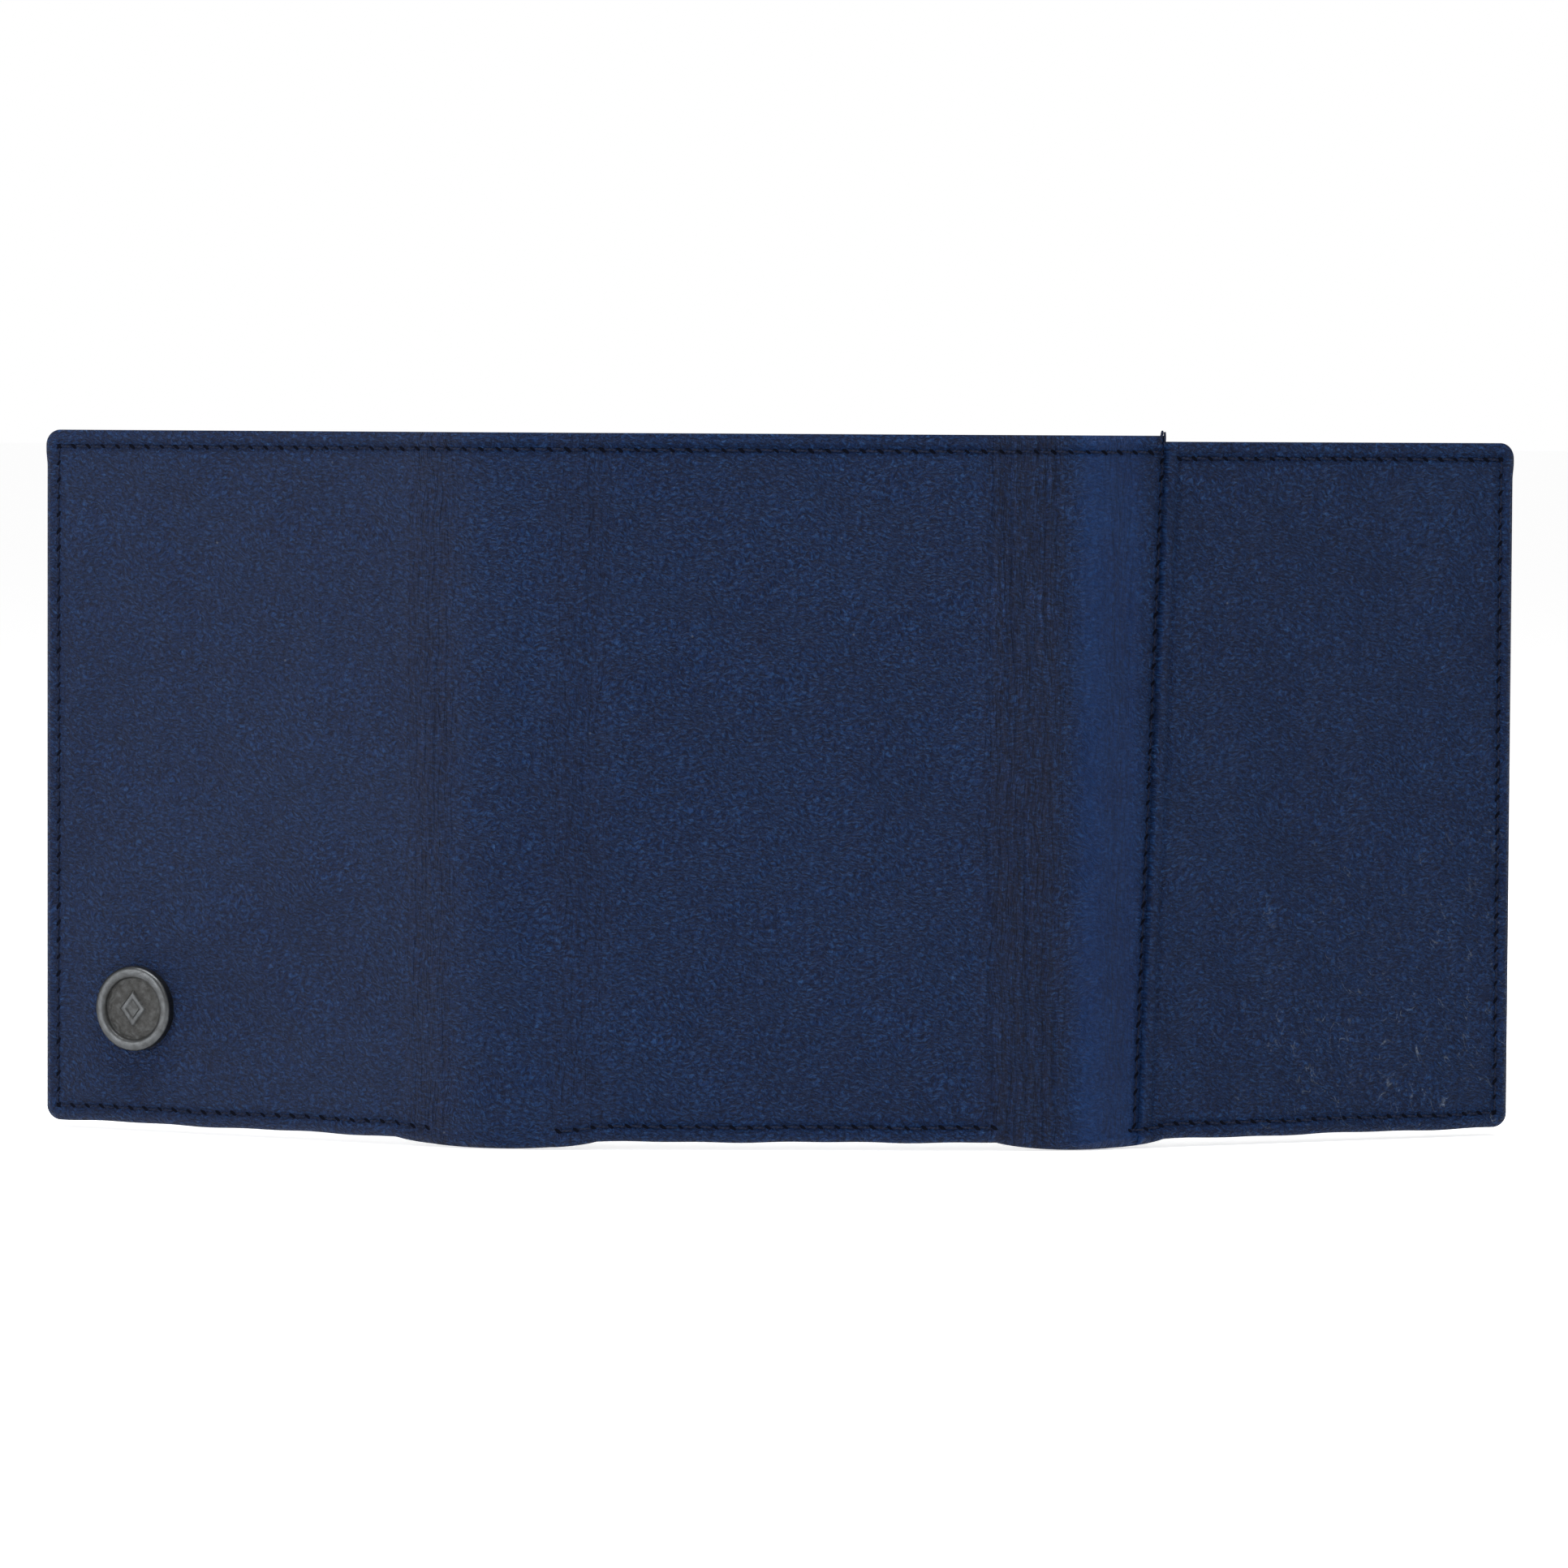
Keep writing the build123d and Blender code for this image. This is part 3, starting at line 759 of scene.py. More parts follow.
# %% [markdown]
# ## Sewing thread
# Each stitch is a short twisted thread that rises out of one hole and dives into the next. Modelling
# every stitch keeps the seam honest from close by. The threads follow the very same relief as the leather,
# on the outer face and again on the turned edge inside, and every hole gets a small dark slanted patch of
# painted shade, standing in for the shaded hole where the needle tore in.

# %% Thread and painted hole shade materials
def thread_finish():
    book = Book("sewing thread")
    length, around = book.parts(book.flat())
    twist = book.math("SINE", length * 9500.0 + around * 7600.0)
    fuzz = book.noise(book.flat(), 4200.0, 2.0)
    strand = book.range(twist + (fuzz - 0.5) * 0.8, -1.0, 1.0)
    book.feed("Base Color", book.mix(strand, (0.0008, 0.0018, 0.0070), (0.0034, 0.0085, 0.030)))
    book.feed("Roughness", book.range(fuzz, 0.3, 0.7, 0.48, 0.66))
    book.bump(strand, 0.05 * mm)
    book.constant(specular_ior_level=0.12)
    return book.material


# Painted shade: a near-black finish for the flat patches that stand in for the shade inside each stitch hole.
def painted_hole_shade_finish():
    book = Book("painted hole shade")
    rough = book.noise(book.flat(), 6000.0, 2.0)
    book.feed("Base Color", book.mix(rough, (0.0004, 0.0006, 0.0018), (0.0016, 0.0024, 0.0070)))
    book.feed("Roughness", book.range(rough, 0.3, 0.7, 0.8, 0.95))
    book.bump(rough, 0.04 * mm)
    book.constant(specular_ior_level=0.05)
    return book.material


thread = thread_finish()
painted_hole_shade = painted_hole_shade_finish()

# %% Stitches and painted hole shades of one row
tau = np.linspace(-1, 1, 9)
ring_angles = np.linspace(0, 2 * np.pi, 8, endpoint=False)
thread_radius = 0.17 * mm


def row_stitches(row, numbers, surface, facing):
    """Tubes of the numbered stitches of a row: facing is -1 on the outer side and 1 on the inner side."""
    numbers = np.asarray(numbers, float)[:, None, None]
    jitter = rng.uniform(-1, 1, (len(numbers), 3, 1))
    along = (numbers + 0.5) * row.pitch + (0.43 + 0.015 * jitter[:, :1]) * row.pitch * tau[None, :, None]
    middle = -0.10 * mm * tau[None, :, None] + 0.04 * mm * jitter[:, 1:2]
    width = thread_radius * (1 - 0.35 * np.abs(tau[None, :, None]) ** 8)
    lift = 0.05 * mm - 0.30 * mm * np.abs(tau[None, :, None]) ** 6 + 0.015 * mm * jitter[:, 2:]
    s_axis, z_axis = (row.start[i] + along * row.along[i] + middle * row.across[i] for i in (0, 1))
    side, up = width * np.cos(ring_angles), width * np.sin(ring_angles)
    s, z = s_axis + side * row.across[0], z_axis + side * row.across[1]
    depth = surface(s_axis, z_axis) + facing * (lift + up)
    points = place(s, depth, settle_hem(s, z)).reshape(-1, 3)
    flat = np.stack([along + 0 * side, thread_radius * ring_angles + 0 * along], -1).reshape(-1, 2)
    return points, ring_quads(*s.shape), flat


def row_painted_hole_shades(row, numbers, surface, facing):
    """Slanted dark patches of painted shade at the numbered holes of a row, lying in the dents."""
    numbers = np.asarray(numbers, float)[:, None, None]
    share = np.array([0.0, 0.55, 1.0])[None, :, None]
    turn = np.linspace(0, 2 * np.pi, 12, endpoint=False)
    size = 1 + 0.16 * rng.uniform(-1, 1, (len(numbers), 1, 1))
    long, wide = 0.60 * mm * size * share * np.cos(turn), 0.25 * mm * size * share * np.sin(turn)
    tilt = math.radians(-38)
    off_along = long * math.cos(tilt) - wide * math.sin(tilt)
    off_across = long * math.sin(tilt) + wide * math.cos(tilt)
    along = numbers * row.pitch + off_along
    s, z = (row.start[i] + along * row.along[i] + off_across * row.across[i] for i in (0, 1))
    depth = surface(s, z) + facing * (0.055 * mm - 0.04 * mm * share**2)
    points = place(s, depth, settle_hem(s, z)).reshape(-1, 3)
    return points, ring_quads(*s.shape, True), np.stack([s, z], -1).reshape(-1, 2)


def sew(name, jobs, maker, material):
    """One mesh from several rows: jobs are (row, numbers, surface, facing)."""
    points, faces, flat, count = [], [], [], 0
    for row, numbers, surface, facing in jobs:
        if not len(numbers):
            continue
        new_points, new_faces, new_flat = maker(row, numbers, surface, facing)
        points.append(new_points)
        faces.append(new_faces + count)
        flat.append(new_flat)
        count += len(new_points)
    return make_mesh(name, np.concatenate(points), np.concatenate(faces), np.concatenate(flat), material)


# %% Sew the outer leather
sewing_kinds = (("threads", row_stitches, thread), ("needle_holes", row_painted_hole_shades, painted_hole_shade))
turn_zone = 3.2 * mm


def outer_face(s, z):
    """Depth of the finished outer face away from its edges."""
    second = (s > seam_at(z)) & (s > 0)
    seam = np.where(s > mid_right, np.where(second, seam_relief(s, z, True), seam_relief(s, z, False)), 0)
    return body_relief(s, z) + sewn_relief(s, z) + seam


def seam_face(s, z):
    """The first piece's face, carried on under the joining seam."""
    return body_relief(s, z) + sewn_relief(s, z) + seam_relief(s, z, False)


def turned_face(s, z):
    """Depth of the turned edge on the inside."""
    top = np.where(s > seam_at(z), joined_height, height)
    at_side = np.minimum(np.abs(s - left_end), np.abs(s - right_end)) < turn_zone
    return fold_thickness(z, top, np.where(at_side | (z < height / 2), 1.0, 0.0)) - sewn_relief(s, z)


row_homes = {
    "left": ("top", "bottom_left", "side_left"),
    "left_centre": ("top", "bottom_centre"),
    "right_centre": ("top", "bottom_centre"),
    "right": ("top", "top_right", "bottom_right", "side_right", "seam"),
}
sewn_nodes = {
    "left": ("stitches_top_left", "stitches_bottom_left", "stitches_side_left", "stitches_top_fold_left"),
    "left_centre": ("stitches_top_centre",),
    "right_centre": ("stitches_bottom_centre", "stitches_top_fold_right"),
    "right": ("stitches_top_right", "stitches_bottom_right", "stitches_side_right", "stitches_joining_seam"),
}


def jobs_for(section, holes):
    """Which stitches or holes of each row fall in a section, on both sides of the leather."""
    s_low, s_high = sections[section][:2]
    jobs = []
    for name in row_homes[section]:
        row = outer_rows[name]
        numbers = np.arange(row.count + (1 if holes else 0))
        middle = row.start[0] + (numbers + (0 if holes else 0.5)) * row.pitch * row.along[0]
        mine = numbers[(middle >= s_low) & (middle < s_high)]
        jobs.append((row, mine, seam_face if name == "seam" else outer_face, -1))
        if name != "seam":
            jobs.append((row, mine, turned_face, 1))
    return jobs


for section in sections:
    for kind, maker, material in sewing_kinds:
        sewn = sew(f"{kind}_{section}", jobs_for(section, kind == "needle_holes"), maker, material)
        join_sections(sewn, section)
        if kind == "threads":
            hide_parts(*sewn_nodes[section])
            print(sewn.name, len(sewn.data.polygons), "faces")

# %% [markdown]
# ## The bill compartment
# The outer wall is lined with a single strip of thin woven cloth, glued to the boards and stretched flat
# before the edges are turned over it. It is made from its flat cut, a little short of every edge. Behind it
# lie the boards, and opposite stands the inner wall of soft leather. Each layer's depth is counted inward
# from the outer face.

# %% Cloth, board and film materials
def cloth_finish():
    book = Book("lining cloth")
    surface = book.flat()
    along, across = book.parts(surface)
    warp, weft = (book.math("SINE", way * 12500.0) for way in (along, across))
    slub = book.noise(book.flat(1.0, 20.0), 2200.0, 2.0)
    weave = book.range(warp * weft * 0.5 + (warp + weft) * 0.2 + (slub - 0.5) * 0.9, -0.8, 0.8)
    tone = book.mix(weave, (0.0035, 0.0048, 0.0085), (0.0145, 0.0185, 0.030))
    rubbed = book.range(book.noise(surface, 60.0), 0.4, 0.7, 0.0, 0.35)
    book.feed("Base Color", book.mix(rubbed, tone, (0.020, 0.024, 0.036)))
    book.feed("Roughness", book.range(weave, 0.0, 1.0, 0.9, 0.72))
    book.bump(weave, 0.05 * mm)
    book.constant(specular_ior_level=0.2, sheen_weight=0.15, sheen_roughness=0.5)
    return book.material


def board_finish():
    book = Book("fibre board")
    fibres = book.noise(book.flat(4.0, 1.0), 2600.0, 3.0)
    flecks = book.noise(book.flat(), 700.0, 2.0)
    tone = book.mix(fibres, (0.23, 0.19, 0.14), (0.40, 0.35, 0.27))
    book.feed("Base Color", book.mix(book.range(flecks, 0.55, 0.75, 0.0, 0.4), tone, (0.14, 0.11, 0.08)))
    book.feed("Roughness", book.range(fibres, 0.3, 0.7, 0.85, 0.95))
    book.bump(fibres, 0.04 * mm)
    return book.material


def film_finish():
    """Thin clear film: a faint mirror over whatever is behind it, with a little haze and some scuffs."""
    book = Book("clear film")
    haze = book.noise(book.flat(), 90.0, 2.0, 0.5)
    scuff = book.noise(book.flat(0.3, 2.0), 260.0, 3.0)
    marks = book.range(scuff, 0.60, 0.72)
    book.feed("Base Color", book.mix(marks, (0.80, 0.86, 0.92), (0.62, 0.66, 0.70)))
    book.feed("Roughness", book.range(haze + marks * 0.4, 0.3, 1.0, 0.06, 0.30))
    book.feed("Alpha", book.range(haze + marks * 0.5, 0.3, 1.2, 0.028, 0.080))
    book.bump(haze + marks * 0.15, 0.15 * mm)
    book.constant(metallic=0.9)
    return book.material


cloth, board, film = cloth_finish(), board_finish(), film_finish()


# %% Lining, boards and inner wall
board_near, lining_near, wall_near = 0.62 * mm, 0.90 * mm, 1.75 * mm
board_thickness, cloth_thickness, wall_thickness = 0.26 * mm, 0.15 * mm, 0.5 * mm


def seam_push(s, z):
    """The joining seam is felt from inside: the layers behind it give way."""
    return 0.36 * mm * bell(s - seam_at(z), 2.2 * mm) * (s > mid_right)


def even_lines(low, high, step):
    return np.linspace(low, high, max(2, round((high - low) / step)) + 1)


def strip(name, section, near, thickness, z_range, side_gap, material, sides=2):
    """One section's share of a layer that runs through the whole wallet."""
    s_low, s_high = sections[section][:2]
    at_left, at_right = section == "left", section == "right"
    s_low, s_high = s_low + side_gap * at_left, s_high - side_gap * at_right
    s_lines = graded(s_low, s_high, 0.9 * mm, at_left, at_right)
    z_lines = graded(*z_range, 1.5 * mm)
    edges = (at_left, at_right, True, True)
    piece = leaf(name, s_lines, z_lines, near, thickness, material, edges, sides=sides)
    join_sections(piece, section)
    return piece


def inner_wall_near(s, z):
    """The inner wall waves a little where nothing holds it: at its open top and in the folds."""
    loose = smooth((z - 60 * mm) / (35 * mm))
    ripple = 0.05 * mm * in_gap(s) * np.sin(s / (1.3 * mm))
    return wall_near + 0.10 * mm * loose * np.sin(s / (9 * mm) + 0.5) + ripple


lining_low, lining_high, lining_gap = 1.5 * mm, height - 3.1 * mm, 1.2 * mm
lining_tall = lining_high - lining_low
wall_low, wall_top = 1.6 * mm, height - 6 * mm
board_low, board_high = 3.2 * mm, height - 4 * mm
wall_nodes = {
    "left": ("inner_base_left", "inner_fold_left"), "left_centre": ("inner_base_centre",),
    "right_centre": ("inner_fold_right",), "right": ("inner_base_right",),
}
lining_nodes = {
    "left": ("bill_lining_left", "bill_lining_fold_left"), "left_centre": ("bill_lining_centre",),
    "right_centre": ("bill_lining_fold_right",), "right": ("bill_lining_right",),
}
for section, (s_low, s_high, *_rest) in sections.items():
    lining = strip(
        f"bill_lining_{section}", section, lambda s, z: lining_near + seam_push(s, z), cloth_thickness,
        (lining_low, lining_high), lining_gap, cloth, sides=1,
    )
    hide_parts(*lining_nodes[section])
    width = s_high - s_low - lining_gap * (section in ("left", "right"))
    wall = strip(
        f"inner_wall_{section}", section, inner_wall_near, wall_thickness, (wall_low, wall_top), lining_gap,
        inner_leather,
    )
    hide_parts(*wall_nodes[section])
    print(lining.name, "cut", round(width * 1000, 2), "by", round(lining_tall * 1000, 2), "mm")

board_spans = {
    "left": (left_end + 4 * mm, left_outer_crease - 3.5 * mm, "left_panel"),
    "centre": (-left_fold["first"] + 3.5 * mm, right_fold["first"] - 3.5 * mm, "centre_panel"),
    "right": (right_outer_crease + 3.5 * mm, right_end - 4 * mm, "right_panel"),
}
for side, (s_low, s_high, body) in board_spans.items():
    z_lines = graded(board_low, board_high, 4 * mm)
    stiffener = leaf(
        f"stiffener_board_{side}_made", graded(s_low, s_high, 2 * mm), z_lines,
        lambda s, z: board_near + seam_push(s, z), board_thickness, board,
    )
    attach(stiffener, body)
    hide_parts(f"stiffener_board_{side}")

# %% [markdown]
# ## Card pockets and the identity window
# Three leather leaves stand one before the other on each side panel, each lower than the one behind it, and
# only their sides and feet are sewn. A heated tool presses a fine line just under each top edge. The middle
# panel carries a leather frame with a clear film behind it.

# %% Pocket leaves
pocket_low, pocket_step, front_top = 5.0 * mm, 10 * mm, 66 * mm
pocket_inset, pocket_leather = 1.8 * mm, 0.5 * mm
pocket_near, pocket_spacing = 2.35 * mm, 0.6 * mm
fine_step = 0.62 * mm
pocket_spans = {
    "left": (left_end + 5.0 * mm, -panel_half - fold_gap),
    "right": (panel_half + fold_gap, right_end - 5.0 * mm),
}


def pocket_rows(s_low, s_high, top):
    """Foot and side rows of a pocket block."""
    low_s, high_s, foot = s_low + pocket_inset, s_high - pocket_inset, pocket_low + pocket_inset
    return {
        "foot": Row(low_s, foot, high_s, foot),
        "low_side": Row(low_s, foot + pitch, low_s, top - 0.6 * mm),
        "high_side": Row(high_s, foot + pitch, high_s, top - 0.6 * mm),
    }


def pressed_line(distance):
    """A fine creased line beside an edge."""
    return 0.13 * mm * bell(distance - 1.9 * mm, 0.28 * mm)


def pocket_sink(s, z, span):
    """Empty pockets lie closest together low down and stand off a hair at their open tops."""
    middle = np.cos((s - (span[0] + span[1]) / 2) / (span[1] - span[0]) * np.pi)
    return 0.07 * mm * middle * smooth((z - 45 * mm) / (40 * mm))


for side, span in pocket_spans.items():
    rows = pocket_rows(*span, front_top + 2 * pocket_step)
    beside = [pocket_inset + step * mm for step in (-0.6, -0.3, 0, 0.3, 0.6)]
    jobs = []
    for number, layer in enumerate(("back", "middle", "front")):
        top = front_top + (2 - number) * pocket_step
        near = pocket_near + pocket_spacing * number

        def dents(s, z, top=top, rows=rows):
            return sum(row.dent(s, z, 0.8) for row in rows.values()) + pressed_line(top - z)

        def near_side(s, z, near=near, span=span):
            return near + pocket_sink(s, z, span)

        def face(s, z, near=near, dents=dents, span=span):
            return near + pocket_sink(s, z, span) + pocket_leather - dents(s, z)

        s_lines = graded(*span, fine_step, beside=beside)
        z_extra = [top - (1.9 + step) * mm for step in (-0.5, -0.25, 0, 0.25, 0.5)]
        z_lines = graded(pocket_low, top, fine_step, beside=beside, extra=z_extra)
        pocket = leaf(
            f"pocket_{side}_{layer}", s_lines, z_lines, near_side, pocket_leather, inner_leather, dents=dents
        )
        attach(pocket, f"{side}_panel")
        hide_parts(f"card_pocket_{side}_{layer}")
        for name, row in rows.items():
            numbers = np.arange(row.count)
            height_at = row.start[1] + (numbers + 0.5) * row.pitch * row.along[1]
            low = 0 if layer == "front" else top - pocket_step
            mine = numbers[(height_at < top - 0.4 * mm) & (height_at > low)]
            jobs.append((row, mine, face, 1))
    for kind, maker, material in sewing_kinds:
        sewn = sew(f"{kind}_pockets_{side}", jobs, maker, material)
        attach(sewn, f"{side}_panel")
        if kind == "threads":
            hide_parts(f"stitches_pockets_{side}")
    print(side, "pockets", round((span[1] - span[0]) * 1000, 1), "mm wide")

# %% Identity window
frame_low, frame_high, border = pocket_low, 80.0 * mm, 7.0 * mm
window_near, film_near = 2.6 * mm, 2.38 * mm
film_lap, film_thickness = 3 * mm, 0.18 * mm
opening = (-panel_half + border, panel_half - border, frame_low + border, frame_high - border)
window_rows = pocket_rows(-panel_half, panel_half, frame_high)


def window_dents(s, z):
    outside = np.maximum.reduce([opening[0] - s, s - opening[1], opening[2] - z, z - opening[3]])
    lines = pressed_line(frame_high - z) + pressed_line(np.where(outside > 0, outside, 1.0))
    return sum(row.dent(s, z, 0.8) for row in window_rows.values()) + lines


def window_face(s, z):
    return window_near + pocket_leather - window_dents(s, z)


def window_lines(low, high, hole_low, hole_high):
    """Grid lines of the frame, dense on its borders and sparse across the opening."""
    beside = [step * mm for step in (1.2, 1.5, 1.8, 2.1, 2.4)]
    borders = (graded(*span, fine_step, beside=beside) for span in ((low, hole_low), (hole_high, high)))
    return np.unique(np.round(np.concatenate([*borders, even_lines(hole_low, hole_high, 6 * mm)]), 8))


frame_piece = leaf(
    "id_window_frame_made", window_lines(-panel_half, panel_half, *opening[:2]),
    window_lines(frame_low, frame_high, *opening[2:]), lambda s, z: window_near + 0 * s, pocket_leather,
    inner_leather, hole=opening, dents=window_dents,
)
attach(frame_piece, "centre_panel")
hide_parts("id_window_frame")


def window_film_near(s, z):
    return film_near + 0.03 * mm * np.sin(s / (7 * mm)) * np.sin(z / (11 * mm))


film_s, film_z = (graded(opening[i] - film_lap, opening[i + 1] + film_lap, 1.5 * mm) for i in (0, 2))
film_piece = leaf(
    "id_window_film_made", film_s, film_z, window_film_near, film_thickness, film, sides=1
)
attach(film_piece, "centre_panel")
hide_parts("id_window_film")
for kind, maker, material in sewing_kinds:
    jobs = [(row, np.arange(row.count), window_face, 1) for row in window_rows.values()]
    sewn = sew(f"{kind}_id_window", jobs, maker, material)
    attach(sewn, "centre_panel")
    if kind == "threads":
        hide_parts("stitches_id_window")
print("window opening", [round(v * 1000, 1) for v in opening])

# %% [markdown]
# ## The rivet emblem
# The emblem is a cast cap of antique metal: a thick worn rim, a sunken field punched with a fine stipple,
# and a plain lozenge. It is one dense disc whose height is written as a formula of the radius and the angle.
# The finish is dark where the patina stays, in the field and its corners, and bright where fingers rub it.

# %% Metal materials
def worn_metal(vector, worn):
    """Antique metal: worn is a 0 to 1 value that is high on rubbed parts."""
    book = worn.book
    blotch = book.noise(vector, 900.0, 4.0, 0.6)
    fine = book.noise(vector, 6500.0, 3.0)
    bright = book.range(worn + (blotch - 0.5) * 1.50 + (fine - 0.5) * 0.60, 0.15, 1.00)
    dull = book.mix(blotch, (0.014, 0.014, 0.014), (0.052, 0.052, 0.050))
    book.feed("Base Color", book.mix(bright, dull, (0.070, 0.074, 0.078)))
    book.feed("Roughness", book.range(bright + (fine - 0.5) * 0.4, 0.0, 1.0, 0.62, 0.34))
    book.feed("Metallic", book.range(bright, 0.0, 0.6, 0.75, 1.0))
    book.bump(blotch * 0.5 + fine * 0.5, 0.05 * mm)
    return book.material


cap_radius, cap_height, rim_width, field_drop = 6.25 * mm, 1.7 * mm, 1.7 * mm, 0.7 * mm
emblem_s, emblem_z = left_end + 16 * mm, 18 * mm
lozenge_reach = 2.6 * mm

book = Book("antique metal")
flat_x, flat_z = book.parts(book.flat())
from_centre = book.math("SQRT", flat_x * flat_x + flat_z * flat_z)
rim_inside = cap_radius - rim_width
on_rim = book.range(from_centre, rim_inside - 0.1 * mm, rim_inside + 0.5 * mm)
diamond = book.math("ABSOLUTE", flat_x) * 1.25 + book.math("ABSOLUTE", flat_z)
on_lozenge = book.range(diamond, lozenge_reach + 0.10 * mm, lozenge_reach - 0.25 * mm)
in_lozenge = book.range(diamond, lozenge_reach * 0.52, lozenge_reach * 0.62, 0.55, 1.0)
rubbed = on_rim * 0.62 + on_lozenge * in_lozenge * 0.50 + 0.22
antique_metal = worn_metal(book.flat(), rubbed)

plain_book = Book("dull metal")
plain_place = plain_book.node("ShaderNodeTexCoord", output=3)
plain_metal = worn_metal(plain_place, plain_book.noise(plain_place, 400.0) * 0.6)

# %% The cap
def cap_profile(x, z):
    """Height of the cap's face above the leather at a place measured from its centre."""
    r, angle = np.hypot(x, z), np.arctan2(z, x)
    wobble = 0.06 * mm * np.sin(3 * angle + 0.7) + 0.04 * mm * np.sin(7 * angle)
    rim_middle = cap_radius - rim_width / 2
    across = np.clip((r - rim_middle) / (rim_width / 2), -1, 1)
    rim = 0.62 * mm * np.sqrt(np.maximum(0, 1 - np.abs(across) ** 2.6)) + cap_height - 0.62 * mm
    field = cap_height - field_drop - 0.12 * mm * smooth((r - 3.4 * mm) / (1.2 * mm))
    upright = np.sin(x / (0.19 * mm) + 2 * np.sin(z / (0.33 * mm)))
    stipple = 0.05 * mm * upright * np.sin(z / (0.17 * mm) + 2 * np.sin(x / (0.41 * mm)))
    reach = 1.25 * np.abs(x) + np.abs(z)
    raised = smooth((lozenge_reach - reach) / (0.22 * mm) + 0.5)
    sunk = smooth((0.55 * lozenge_reach - reach) / (0.20 * mm) + 0.5)
    field = field + (1 - raised) * stipple + 0.38 * mm * raised - 0.20 * mm * sunk
    inside = smooth((cap_radius - rim_width + wobble * 0.5 - r) / (0.16 * mm) + 0.5)
    return rim * (1 - inside) + field * inside


ring_spans = ((0.08, 4.35, 36), (4.42, 4.75, 7), (4.85, 6.1, 12))
radii = np.concatenate([*(np.linspace(*span) for span in ring_spans), [6.18, 6.23, 6.25]]) * mm
turns = np.linspace(0, 2 * np.pi, 144, endpoint=False)
r, angle = np.meshgrid(radii, turns, indexing="ij")
x, z = r * np.cos(angle), r * np.sin(angle)
lift = cap_profile(x, z)
low_x, low_z = (np.repeat(v[-1:], 2, 0) for v in (x, z))
low_lift = np.stack([np.full(len(turns), 0.4 * mm), np.full(len(turns), -0.22 * mm)])
x, z, lift = np.concatenate([x, low_x]), np.concatenate([z, low_z]), np.concatenate([lift, low_lift])
points = place(emblem_s + x, -lift, emblem_z + z).reshape(-1, 3)
faces = [*ring_quads(1, *x.shape, True).tolist(), list(range(len(turns)))]
cap = make_mesh("emblem_cap_made", points, faces, np.stack([x.ravel(), z.ravel()], 1), antique_metal)
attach(cap, "left_panel")
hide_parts("emblem_cap")
for node in ("emblem_post", "emblem_washer"):
    part = frame["nodes"][node]
    part.data.materials.clear()
    part.data.materials.append(plain_metal)
print("cap", len(cap.data.polygons), "faces, lozenge", lozenge_reach * 2 / mm, "mm tall")

# %% Thread ends at the top of the joining seam
end_rings, end_sides = 12, 8


def loose_end(bend, radius):
    """A short tube that follows four flat places (s, depth, z)."""
    t = np.linspace(0, 1, end_rings)[:, None]
    u = 1 - t
    curve = u**3 * bend[0] + 3 * t * u**2 * bend[1] + 3 * t**2 * u * bend[2] + t**3 * bend[3]
    turn = np.linspace(0, 2 * np.pi, end_sides, endpoint=False)
    width = radius * (1 - 0.5 * t**6)
    s = curve[:, :1] + width * np.cos(turn)
    depth = curve[:, 1:2] + width * np.sin(turn)
    z = curve[:, 2:] + 0 * turn
    tip = list(range((end_rings - 1) * end_sides, end_rings * end_sides))
    flat = np.stack([(3 * t * mm + 0 * turn).ravel(), (radius * turn + 0 * t).ravel()], 1)
    return place(s, depth, z).reshape(-1, 3), [*ring_quads(1, end_rings, end_sides).tolist(), tip], flat


knot = np.array([seam_at(height) - needle_off, 0, height])
end_bends = (
    (0.22, [(-0.5, 0.3, -1.4), (-0.5, 0, 0), (-0.2, 0.3, 0.5), (-0.1, 0.5, 0.75)]),
    (0.20, [(0.1, 0.3, -1.4), (0.2, 0, 0), (0.1, 0.4, 0.6), (0.5, 0.8, 0.55)]),
)
for number, (radius, offsets) in enumerate(end_bends):
    points, faces, flat = loose_end(knot + np.array(offsets) * mm, radius * mm)
    loose = make_mesh(f"thread_end_{number + 1}", points, faces, flat, thread)
    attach(loose, "right_panel")

# %% [markdown]
# ## Studio
# Dark leather is shown best by a few large soft sources. One from the left gives the left panel its greyer
# sheen, helped by a faint grey sheen painted into the leather there, and the panels darken as they turn away
# from it, which is what makes the folds readable. One from above catches the rolled top edge. The table is
# pale and glows a little by itself, so hardly any shadow is left on it.

# %% Lights and table
def area_light(name, location, target, size, power):
    data = bpy.data.lights.new(name, "AREA")
    data.shape = "RECTANGLE"
    data.size, data.size_y = size
    data.energy = power
    lamp = bpy.data.objects.new(name, data)
    bpy.context.scene.collection.objects.link(lamp)
    lamp.location = location
    lamp.rotation_euler = (Vector(target) - Vector(location)).to_track_quat("-Z", "Y").to_euler()
    return lamp


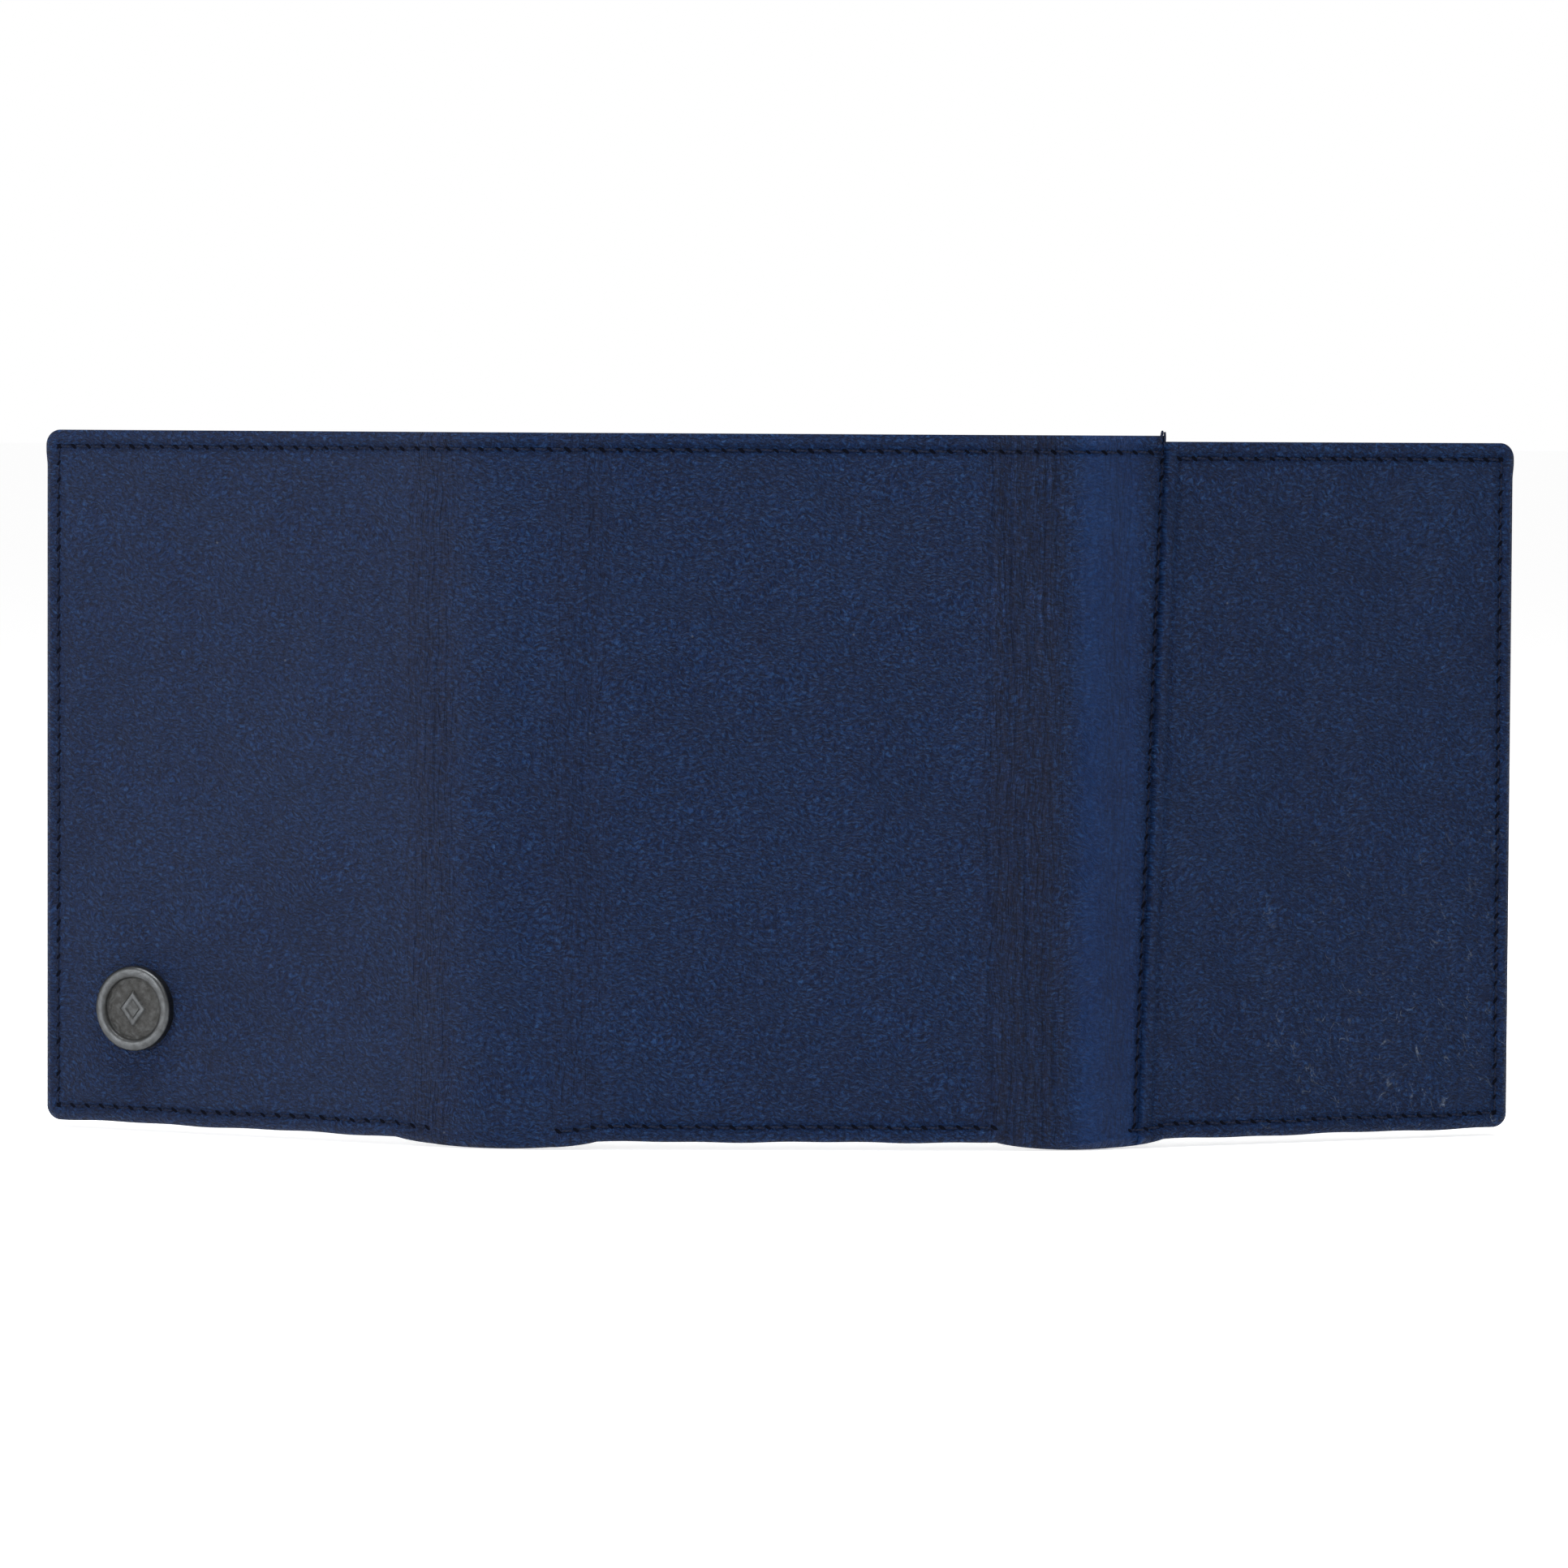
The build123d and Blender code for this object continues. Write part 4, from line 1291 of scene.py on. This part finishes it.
floor_book = Book("studio floor")
floor_book.constant(base_color=(0.93, 0.93, 0.93, 1.0), roughness=0.9)
floor_book.constant(emission_color=(1.0, 1.0, 1.0, 1.0), emission_strength=0.62)
floor_radius, floor_sides, floor_drop = 30, 64, 0.3 * mm
around = np.linspace(0, 2 * math.pi, floor_sides, endpoint=False)
ring = [(floor_radius * math.cos(angle), floor_radius * math.sin(angle), -floor_drop) for angle in around]
floor_mesh = bpy.data.meshes.new("studio_floor")
floor_mesh.from_pydata(ring, [], [list(range(floor_sides))])
floor_mesh.materials.append(floor_book.material)
floor = bpy.data.objects.new("studio_floor", floor_mesh)
bpy.context.scene.collection.objects.link(floor)

# %% [markdown]
# ## Surroundings
# The white of a studio sweep is much brighter than the light that really falls on the object, so the
# surroundings are pure white to the eye and dimmer as a light source. That keeps the leather deep in tone.

# %% Surroundings
world = bpy.data.worlds.new("studio")
world.use_nodes = True
nodes, links = world.node_tree.nodes, world.node_tree.links
nodes["Background"].inputs["Color"].default_value = (1.0, 1.0, 1.0, 1.0)
seen = nodes.new("ShaderNodeLightPath").outputs["Is Camera Ray"]
strength = nodes.new("ShaderNodeMapRange")
links.new(seen, strength.inputs["Value"])
strength.inputs["To Min"].default_value = 0.38
strength.inputs["To Max"].default_value = 1.0
links.new(strength.outputs["Result"], nodes["Background"].inputs["Strength"])
bpy.context.scene.world = world
bpy.context.scene.view_settings.view_transform = "Standard"
middle = Vector((0, 0, height / 2))
area_light("top softbox", (0.0, -0.16, 0.80), middle, (0.9, 0.35), 10.0)
area_light("left softbox", (-0.95, -0.65, 0.30), middle, (0.45, 0.6), 7.5)
area_light("front softbox", (0.35, -1.2, 0.75), middle, (0.6, 0.6), 2.5)

# %% [markdown]
# ## Camera
# A long lens from about a metre, just above the height of the wallet, keeps the upright edges nearly
# parallel.

# %% Camera
azimuth, elevation, roll = math.radians(-1.65), math.radians(2.82), math.radians(-0.31)
target = Vector((0.0008, outer_y, 0.0528))
distance, lens = 1.0593, 168.8
level = math.cos(elevation)
back = Vector((math.sin(azimuth) * level, -math.cos(azimuth) * level, math.sin(elevation)))
right = (-back).cross(Vector((0, 0, 1))).normalized()
up = right.cross(-back)
right, up = math.cos(roll) * right - math.sin(roll) * up, math.sin(roll) * right + math.cos(roll) * up
camera_data = bpy.data.cameras.new("camera")
camera_data.lens = lens
camera_data.sensor_width = 36
camera_data.clip_start = 0.05
camera = bpy.data.objects.new("camera", camera_data)
bpy.context.scene.collection.objects.link(camera)
rotation = Matrix((right, up, back)).transposed().to_4x4()
camera.matrix_world = Matrix.Translation(target + back * distance) @ rotation
bpy.context.scene.camera = camera
